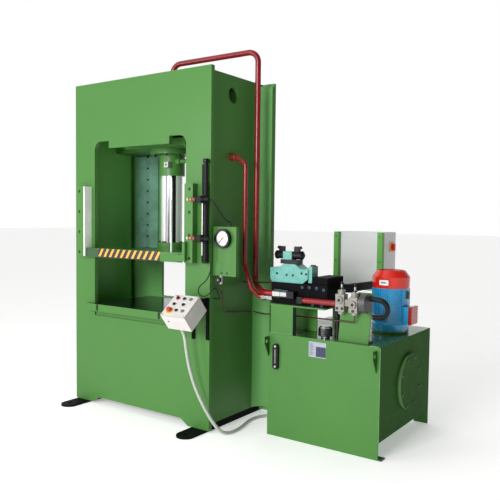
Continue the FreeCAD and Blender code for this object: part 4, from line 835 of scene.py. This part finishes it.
class PRESS_OT_motor_detail(bpy.types.Operator):
    """Cooling fins, lid, lifting lug, flange bolts, fan grille and blank label on the motor"""
    bl_idname = "press.motor_detail"
    bl_label = "Motor detail"

    def execute(self, context):
        axis = Matrix.Translation((MOTOR_X, MOTOR_Y, 0))
        fin = slab((0.124, -0.0016, 0.824), (0.1365, 0.0016, 1.060))
        turns = [axis @ Matrix.Rotation(math.radians(6.0 * step), 4, "Z") for step in range(5, 56)]
        fit(copies(fin, turns), "motor_fins", "frame", MADE["blue"])
        lid = ease(slab((1.897, 0.432, 0.810), (1.9245, 0.558, 0.940)), 0.004)
        fit(lid, "terminal_lid", "frame", MADE["lid"])
        lug = ease(slab((1.868, 0.470, 0.992), (1.884, 0.500, 1.046)), 0.002)
        fit(lug, "motor_lifting_lug", "frame", MADE["bolt"])
        outwards = Matrix.Translation((0.1275, 0, 0.757))
        spots = [axis @ Matrix.Rotation(math.radians(45 * step + 22.5), 4, "Z") @ outwards for step in range(8)]
        bolts = copies(bolt_head(0.0075, 0.006), spots)
        fit(bolts, "motor_flange_bolts", "frame", MADE["zinc"])
        top = (MOTOR_X, MOTOR_Y, 1.1911)
        wires = [turned([(wide, 0), (wide, 0.0016), (wide - 0.006, 0.0016), (wide - 0.006, 0)], top)
                 for wide in (0.095, 0.078, 0.061, 0.044, 0.027)]
        fit(joined(wires), "fan_grille", "frame", MADE["cover"])
        fit(self.curved(0.1366, 1.090, 1.126, 29.0), "cover_label", "frame", MADE["white"])
        fit(self.curved(0.1372, 1.104, 1.112, 16.0), "cover_label_dash", "frame", MADE["ink"])
        return {"FINISHED"}

    def curved(self, radius, bottom, top, spread_angle):
        """A thin plate spun round the motor's axis, facing the front."""
        start = math.radians(-90 + spread_angle / 2)
        way = Vector((math.cos(start), math.sin(start), 0))
        deselect()
        bpy.ops.mesh.primitive_plane_add(size=1)
        piece = bpy.context.object
        corners = [(radius - 0.002, bottom), (radius, bottom), (radius - 0.002, top), (radius, top)]
        for vertex, (out, high) in zip(piece.data.vertices, corners):
            vertex.co = way * out + Vector((MOTOR_X, MOTOR_Y, high))
        edit(piece)
        bpy.ops.mesh.spin(steps=8, angle=math.radians(spread_angle), center=(MOTOR_X, MOTOR_Y, 0), axis=UP)
        bpy.ops.mesh.select_all(action="SELECT")
        bpy.ops.mesh.normals_make_consistent(inside=False)
        bpy.ops.object.mode_set(mode="OBJECT")
        return piece


class PRESS_OT_duct(bpy.types.Operator):
    """Run the black cable duct from the manifold to the cabinet's post"""
    bl_idname = "press.duct"
    bl_label = "Cable duct"

    def execute(self, context):
        near, far = Vector((1.601, 0.060, 1.084)), Vector((1.484, 0.797, 1.043))
        half = (far - near).length / 2
        duct = ease(slab((-0.022, -half, -0.027), (0.022, half, 0.027)), 0.003)
        turn = Vector(BACK).rotation_difference(far - near).to_matrix().to_4x4()
        duct.data.transform(Matrix.Translation((near + far) / 2) @ turn)
        foot = ease(slab((1.509, 0.110, 1.0475), (1.605, 0.150, 1.0540)), 0.001)
        fit(joined([duct, foot]), "cable_duct", "frame", MADE["black"])
        return {"FINISHED"}


class PRESS_OT_tank_detail(bpy.types.Operator):
    """Sight glass, nameplate fields, breather ribs, weld seams, bracket bolts and foot of the tank"""
    bl_idname = "press.tank_detail"
    bl_label = "Tank detail"

    def execute(self, context):
        window = ease(slab((1.1335, -0.1278, 0.528), (1.1445, -0.1268, 0.632)), 0.0006, 1)
        fit(window, "level_window", "frame", MADE["smoke"])
        spots = [facing((1.139, -0.1268, z), FRONT) for z in (0.506, 0.651)]
        fit(copies(socket_head(0.008, 0.004), spots), "level_screws", "frame", MADE["zinc"])
        plate, left, bottom, row_pitch = -0.1080, 1.408, 0.628, 0.012
        dark = slab((1.458, plate, 0.619), (1.533, plate + 0.0010, 0.688))
        rows = [slab((left, plate, bottom + row_pitch * row),
                     (left + (0.034 if row % 2 else 0.026), plate + 0.0009, bottom + 0.003 + row_pitch * row))
                for row in range(7)]
        fit(joined([dark, *rows]), "nameplate_fields", "frame", MADE["slate"])
        waves = [(0.0525 if step % 2 else 0.0485, 0.006 * step) for step in range(1, 10)]
        ribs = turned([(0.049, 0), *waves], (1.494, -0.040, 0.7585), UP, 40)
        fit(ribs, "breather_ribs", "frame", MADE["dark_chrome"])
        edge_x, edge_y, weld_z = TANK_RIGHT + 0.0005, TANK_FRONT + 0.004, TANK_TOP + 0.0025
        seams = [
            bead([(edge_x, edge_y, 0.115), (edge_x, edge_y, TANK_TOP - 0.004)], 0.0035),
            bead([(TANK_RIGHT - 0.008, edge_y, TANK_TOP + 0.0005), (1.850, edge_y, TANK_TOP + 0.0005)], 0.0030),
            bead([(1.0695, -0.0975, weld_z), (1.264, -0.0975, weld_z)], 0.0030),
            bead([(1.604, -0.0485, weld_z), (1.816, -0.0485, weld_z)], 0.0030),
        ]
        # The weld beads carry the painted highlight green.
        fit(joined(seams), "tank_welds", "frame", MADE["pale"])
        spots = [facing((x, -0.014, 0.7522), UP) for x in (1.632, 1.671, 1.710, 1.749, 1.788)]
        fit(copies(bolt_head(0.008, 0.006), spots), "bracket_bolts", "frame", MADE["bolt"])
        lip = ease(slab((1.868, -0.1045, 0.0), (1.948, -0.0400, 0.009)), 0.002)
        fit(lip, "tank_foot", "frame", MADE["dark_green"])
        return {"FINISHED"}


class PRESS_OT_console_detail(bpy.types.Operator):
    """Legend plates, stop plate, lid screws and lid seal of the operator console"""
    bl_idname = "press.console_detail"
    bl_label = "Console detail"

    def execute(self, context):
        wide, deep, high = CONSOLE_WIDTH, CONSOLE_DEPTH, CONSOLE_HEIGHT
        stop_at = (wide * 0.24, deep * 0.24, high)
        buttons_at = ((0.50, 0.28), (0.76, 0.28), (0.24, 0.55), (0.62, 0.56), (0.50, 0.83), (0.76, 0.83),
                      (0.24, 0.82))
        disc = turned([(0.029, 0), (0.029, 0.0020), (0.0152, 0.0020)], stop_at, UP, 40)
        disc.data.transform(CONSOLE_FRAME)
        fit(disc, "stop_plate", "frame", MADE["yellow"])
        plate = slab((-0.015, 0.0158, high), (0.015, 0.0245, high + 0.0012), 0.0004, 1)
        spots = [CONSOLE_FRAME @ Matrix.Translation((wide * x, deep * y, 0)) for x, y in buttons_at]
        fit(copies(plate, spots), "legend_plates", "frame", MADE["white"])
        inset = 0.012
        spots = [CONSOLE_FRAME @ Matrix.Translation((x, y, high))
                 for x in (inset, wide - inset) for y in (inset, deep - inset)]
        screws = copies(socket_head(0.004, 0.0025), spots)
        fit(screws, "console_screws", "frame", MADE["zinc"])
        proud = 0.0006
        seam = slab((-proud, -proud, high - 0.0042), (wide + proud, deep + proud, high - 0.0026), 0.0004, 1)
        seam.data.transform(CONSOLE_FRAME)
        fit(seam, "console_seal", "frame", MADE["rubber"])
        return {"FINISHED"}


class PRESS_OT_cabinet_detail(bpy.types.Operator):
    """Roof lip, isolator plate and post screws of the switch cabinet"""
    bl_idname = "press.cabinet_detail"
    bl_label = "Cabinet detail"

    def execute(self, context):
        plate = ease(slab((1.5371, 0.9570, 1.3060), (1.5386, 1.0170, 1.3660)), 0.0006)
        fit(plate, "isolator_plate", "frame", MADE["yellow"])
        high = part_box("cabinet_box")[1]
        gutter = ease(slab((1.1095, 0.8425, high.z - 0.0002), (1.5325, 1.052, high.z + 0.0016)), 0.0006)
        fit(gutter, "cabinet_roof", "frame", MADE["panel"])
        spots = [facing((x, 0.7979, z), FRONT) for x in (1.1295, 1.5125) for z in (1.02, 1.22, 1.42)]
        fit(copies(bolt_head(0.007, 0.005), spots), "post_bolts", "frame", MADE["tank"])
        return {"FINISHED"}


class PRESS_OT_frame_welds(bpy.types.Operator):
    """Weld seams on the press frame"""
    bl_idname = "press.frame_welds"
    bl_label = "Frame welds"

    def execute(self, context):
        corner, front, top = 0.7005, -0.3135, 2.6105
        seams = [
            bead([(corner, front, 0.060), (corner, front, 2.580)], 0.0040),
            bead([(-corner, front, 0.060), (-corner, front, 2.580)], 0.0040),
            bead([(-0.600, front, top), (0.600, front, top)], 0.0035),
        ]
        fit(joined(seams), "frame_seams", "frame", MADE["green"])
        return {"FINISHED"}


CORDS = {
    "console_conduit": ("conduit", "sheath", "conduit_grey", "object", "medium", [
        (0.5836, -0.4973, 0.766), (0.5836, -0.475, 0.738), (0.590, -0.463, 0.690), (0.601, -0.462, 0.610),
        (0.620, -0.455, 0.500), (0.652, -0.446, 0.390), (0.700, -0.436, 0.285), (0.756, -0.425, 0.190),
        (0.806, -0.400, 0.100), (0.842, -0.355, 0.032), (0.862, -0.290, 0.013), (0.868, -0.200, 0.013),
        (0.846, -0.085, 0.013), (0.812, 0.030, 0.013), (0.815, 0.150, 0.013), (0.880, 0.240, 0.013),
        (0.985, 0.262, 0.013), (1.064, 0.262, 0.018), (1.112, 0.262, 0.052), (1.112, 0.262, 0.112),
    ]),
    "sensor_cable_upper": ("cable", "rubber", "cable_black", "object", "limp", [
        (0.786, -0.445, 1.686), (0.804, -0.445, 1.686), (0.828, -0.428, 1.650), (0.848, -0.398, 1.590),
        (0.862, -0.350, 1.540), (0.868, -0.305, 1.528), (0.870, -0.296, 1.510), (0.870, -0.296, 1.495),
    ]),
    "sensor_cable_lower": ("cable", "rubber", "cable_black", "object", "limp", [
        (0.786, -0.445, 1.412), (0.804, -0.445, 1.412), (0.816, -0.440, 1.360), (0.808, -0.432, 1.270),
        (0.790, -0.428, 1.180), (0.752, -0.430, 1.112), (0.706, -0.440, 1.082), (0.690, -0.448, 1.040),
        (0.720, -0.446, 1.002), (0.766, -0.432, 1.010), (0.800, -0.415, 1.060), (0.812, -0.390, 1.066),
        (0.806, -0.350, 1.010), (0.780, -0.310, 0.975), (0.740, -0.290, 0.975), (0.700, -0.290, 0.975),
    ]),
    "motor_hose": ("hose", "rubber", "cable_black", "object", "medium", [
        (1.842, -0.092, 1.046), (1.888, -0.092, 1.046), (1.932, -0.084, 1.036), (1.955, -0.072, 1.000),
        (1.950, -0.058, 0.955), (1.918, -0.042, 0.926), (1.876, -0.030, 0.918), (1.838, -0.030, 0.918),
    ]),
}


def curve_length(curve):
    """The length of a curve's own line."""
    graph = bpy.context.evaluated_depsgraph_get()
    bevel, curve.data.bevel_depth = curve.data.bevel_depth, 0.0
    graph.update()
    mesh = curve.evaluated_get(graph).to_mesh()
    ends = [[mesh.vertices[index].co for index in edge.vertices] for edge in mesh.edges]
    total = sum((second - first).length for first, second in ends)
    curve.evaluated_get(graph).to_mesh_clear()
    curve.data.bevel_depth = bevel
    return total


class PRESS_OT_cords(bpy.types.Operator):
    """Lay the conduit, the two switch cables and the hose"""
    bl_idname = "press.cords"
    bl_label = "Cords"

    def execute(self, context):
        sizes = context.scene.press_sizes
        for node, (size, coating, slot, end, stiffness, points) in CORDS.items():
            data = bpy.data.curves.new(node + "_line", "CURVE")
            data.dimensions = "3D"
            data.resolution_u = 12
            data.bevel_resolution = 5
            data.bevel_depth = getattr(sizes, size) / 2
            data.use_fill_caps = True
            line = data.splines.new("NURBS")
            line.points.add(len(points) - 1)
            for point, place in zip(line.points, points):
                point.co = (*place, 1)
            line.order_u = 3
            line.use_endpoint_u = True
            piece = bpy.data.objects.new(node + "_line", data)
            context.scene.collection.objects.link(piece)
            data.materials.append(MADE[coating])
            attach(piece, "frame")
            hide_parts(node)
            round(curve_length(piece), 4)
            getattr(sizes, size)
        return {"FINISHED"}


class PRESS_OT_stage(bpy.types.Operator):
    """Set up the floor, the lights and the camera"""
    bl_idname = "press.stage"
    bl_label = "Stage"

    def execute(self, context):
        settings = context.scene.press_stage
        deselect()
        bpy.ops.mesh.primitive_plane_add(size=120, location=(0, 0, -0.0005))
        floor = bpy.context.object
        floor.name = "studio_floor"
        pale = finish("Studio floor", settings.floor, 0.75, blotch=0.5, mottle=0.01, relief=0.0)
        sockets = pale.node_tree.nodes["Principled BSDF"].inputs
        sockets["Emission Color"].default_value = (1, 1, 1, 1)
        sockets["Emission Strength"].default_value = 0.34
        floor.data.materials.append(pale)
        world = bpy.data.worlds.new("Studio")
        context.scene.world = world
        world.use_nodes = True
        tree = world.node_tree
        sky = tree.nodes.new("ShaderNodeTexCoord")
        along = tree.nodes.new("ShaderNodeVectorMath")
        along.operation = "DOT_PRODUCT"
        along.inputs[1].default_value = (-1.0, 0.12, 0.0)
        tree.links.new(sky.outputs["Generated"], along.inputs[0])
        tree.links.new(spread(tree, along.outputs["Value"], 0.13, 1.0, -0.40, 0.20),
                       tree.nodes["Background"].inputs["Strength"])
        tree.nodes["Background"].inputs["Color"].default_value = (1, 1, 1, 1)
        for name, place, aim, size, tall, power in (
                ("Key", (0.9, -7.0, 3.2), (0.6, 0, 1.1), 2.6, 2.6, 390),
                ("Left fill", (-1.9, -4.2, 1.9), (0.1, 0, 1.4), 1.2, 2.4, 45)):
            light = bpy.data.lights.new(name, "AREA")
            light.shape = "RECTANGLE"
            light.size = size
            light.size_y = tall
            light.energy = power
            lamp = bpy.data.objects.new(name, light)
            context.scene.collection.objects.link(lamp)
            lamp.location = place
            lamp.rotation_euler = (Vector(aim) - Vector(place)).to_track_quat("-Z", "Y").to_euler()
        camera = bpy.data.cameras.new("Camera")
        camera.lens = settings.lens
        camera.sensor_width = 36.0
        eye = bpy.data.objects.new("Camera", camera)
        context.scene.collection.objects.link(eye)
        eye.matrix_world = (Matrix.Translation(settings.place) @ Matrix.Rotation(settings.turn, 4, "Z")
                            @ Matrix.Rotation(math.pi / 2 - settings.tilt, 4, "X")
                            @ Matrix.Rotation(settings.roll, 4, "Z"))
        context.scene.camera = eye
        context.scene.view_settings.view_transform = "Standard"
        return {"FINISHED"}


OPERATORS = (
    PRESS_OT_finishes,
    PRESS_OT_hazard_band,
    PRESS_OT_guide_detail,
    PRESS_OT_bolster_detail,
    PRESS_OT_dial,
    PRESS_OT_switch_detail,
    PRESS_OT_valve_detail,
    PRESS_OT_relief_detail,
    PRESS_OT_motor_detail,
    PRESS_OT_duct,
    PRESS_OT_tank_detail,
    PRESS_OT_console_detail,
    PRESS_OT_cabinet_detail,
    PRESS_OT_frame_welds,
    PRESS_OT_cords,
    PRESS_OT_stage,
)


class PRESS_PT_sidebar(bpy.types.Panel):
    """The steps that dress the press"""
    bl_idname = "PRESS_PT_sidebar"
    bl_label = "Hydraulic press"
    bl_space_type = "VIEW_3D"
    bl_region_type = "UI"
    bl_category = "Press"

    def draw(self, context):
        for operator in OPERATORS:
            self.layout.operator(operator.bl_idname)


SETTINGS = {"press_colours": PressColours, "press_sizes": PressSizes, "press_stage": StageSettings}
CLASSES = (*SETTINGS.values(), *OPERATORS, PRESS_PT_sidebar)


def register():
    for item in CLASSES:
        bpy.utils.register_class(item)
    for name, group in SETTINGS.items():
        setattr(bpy.types.Scene, name, bpy.props.PointerProperty(type=group))


def unregister():
    for name in SETTINGS:
        delattr(bpy.types.Scene, name)
    for item in reversed(CLASSES):
        bpy.utils.unregister_class(item)


def main():
    """Runs every step in order."""
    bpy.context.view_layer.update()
    register()
    for operator in OPERATORS:
        group, name = operator.bl_idname.split(".")
        getattr(getattr(bpy.ops, group), name)()


if __name__ == "__main__":
    main()
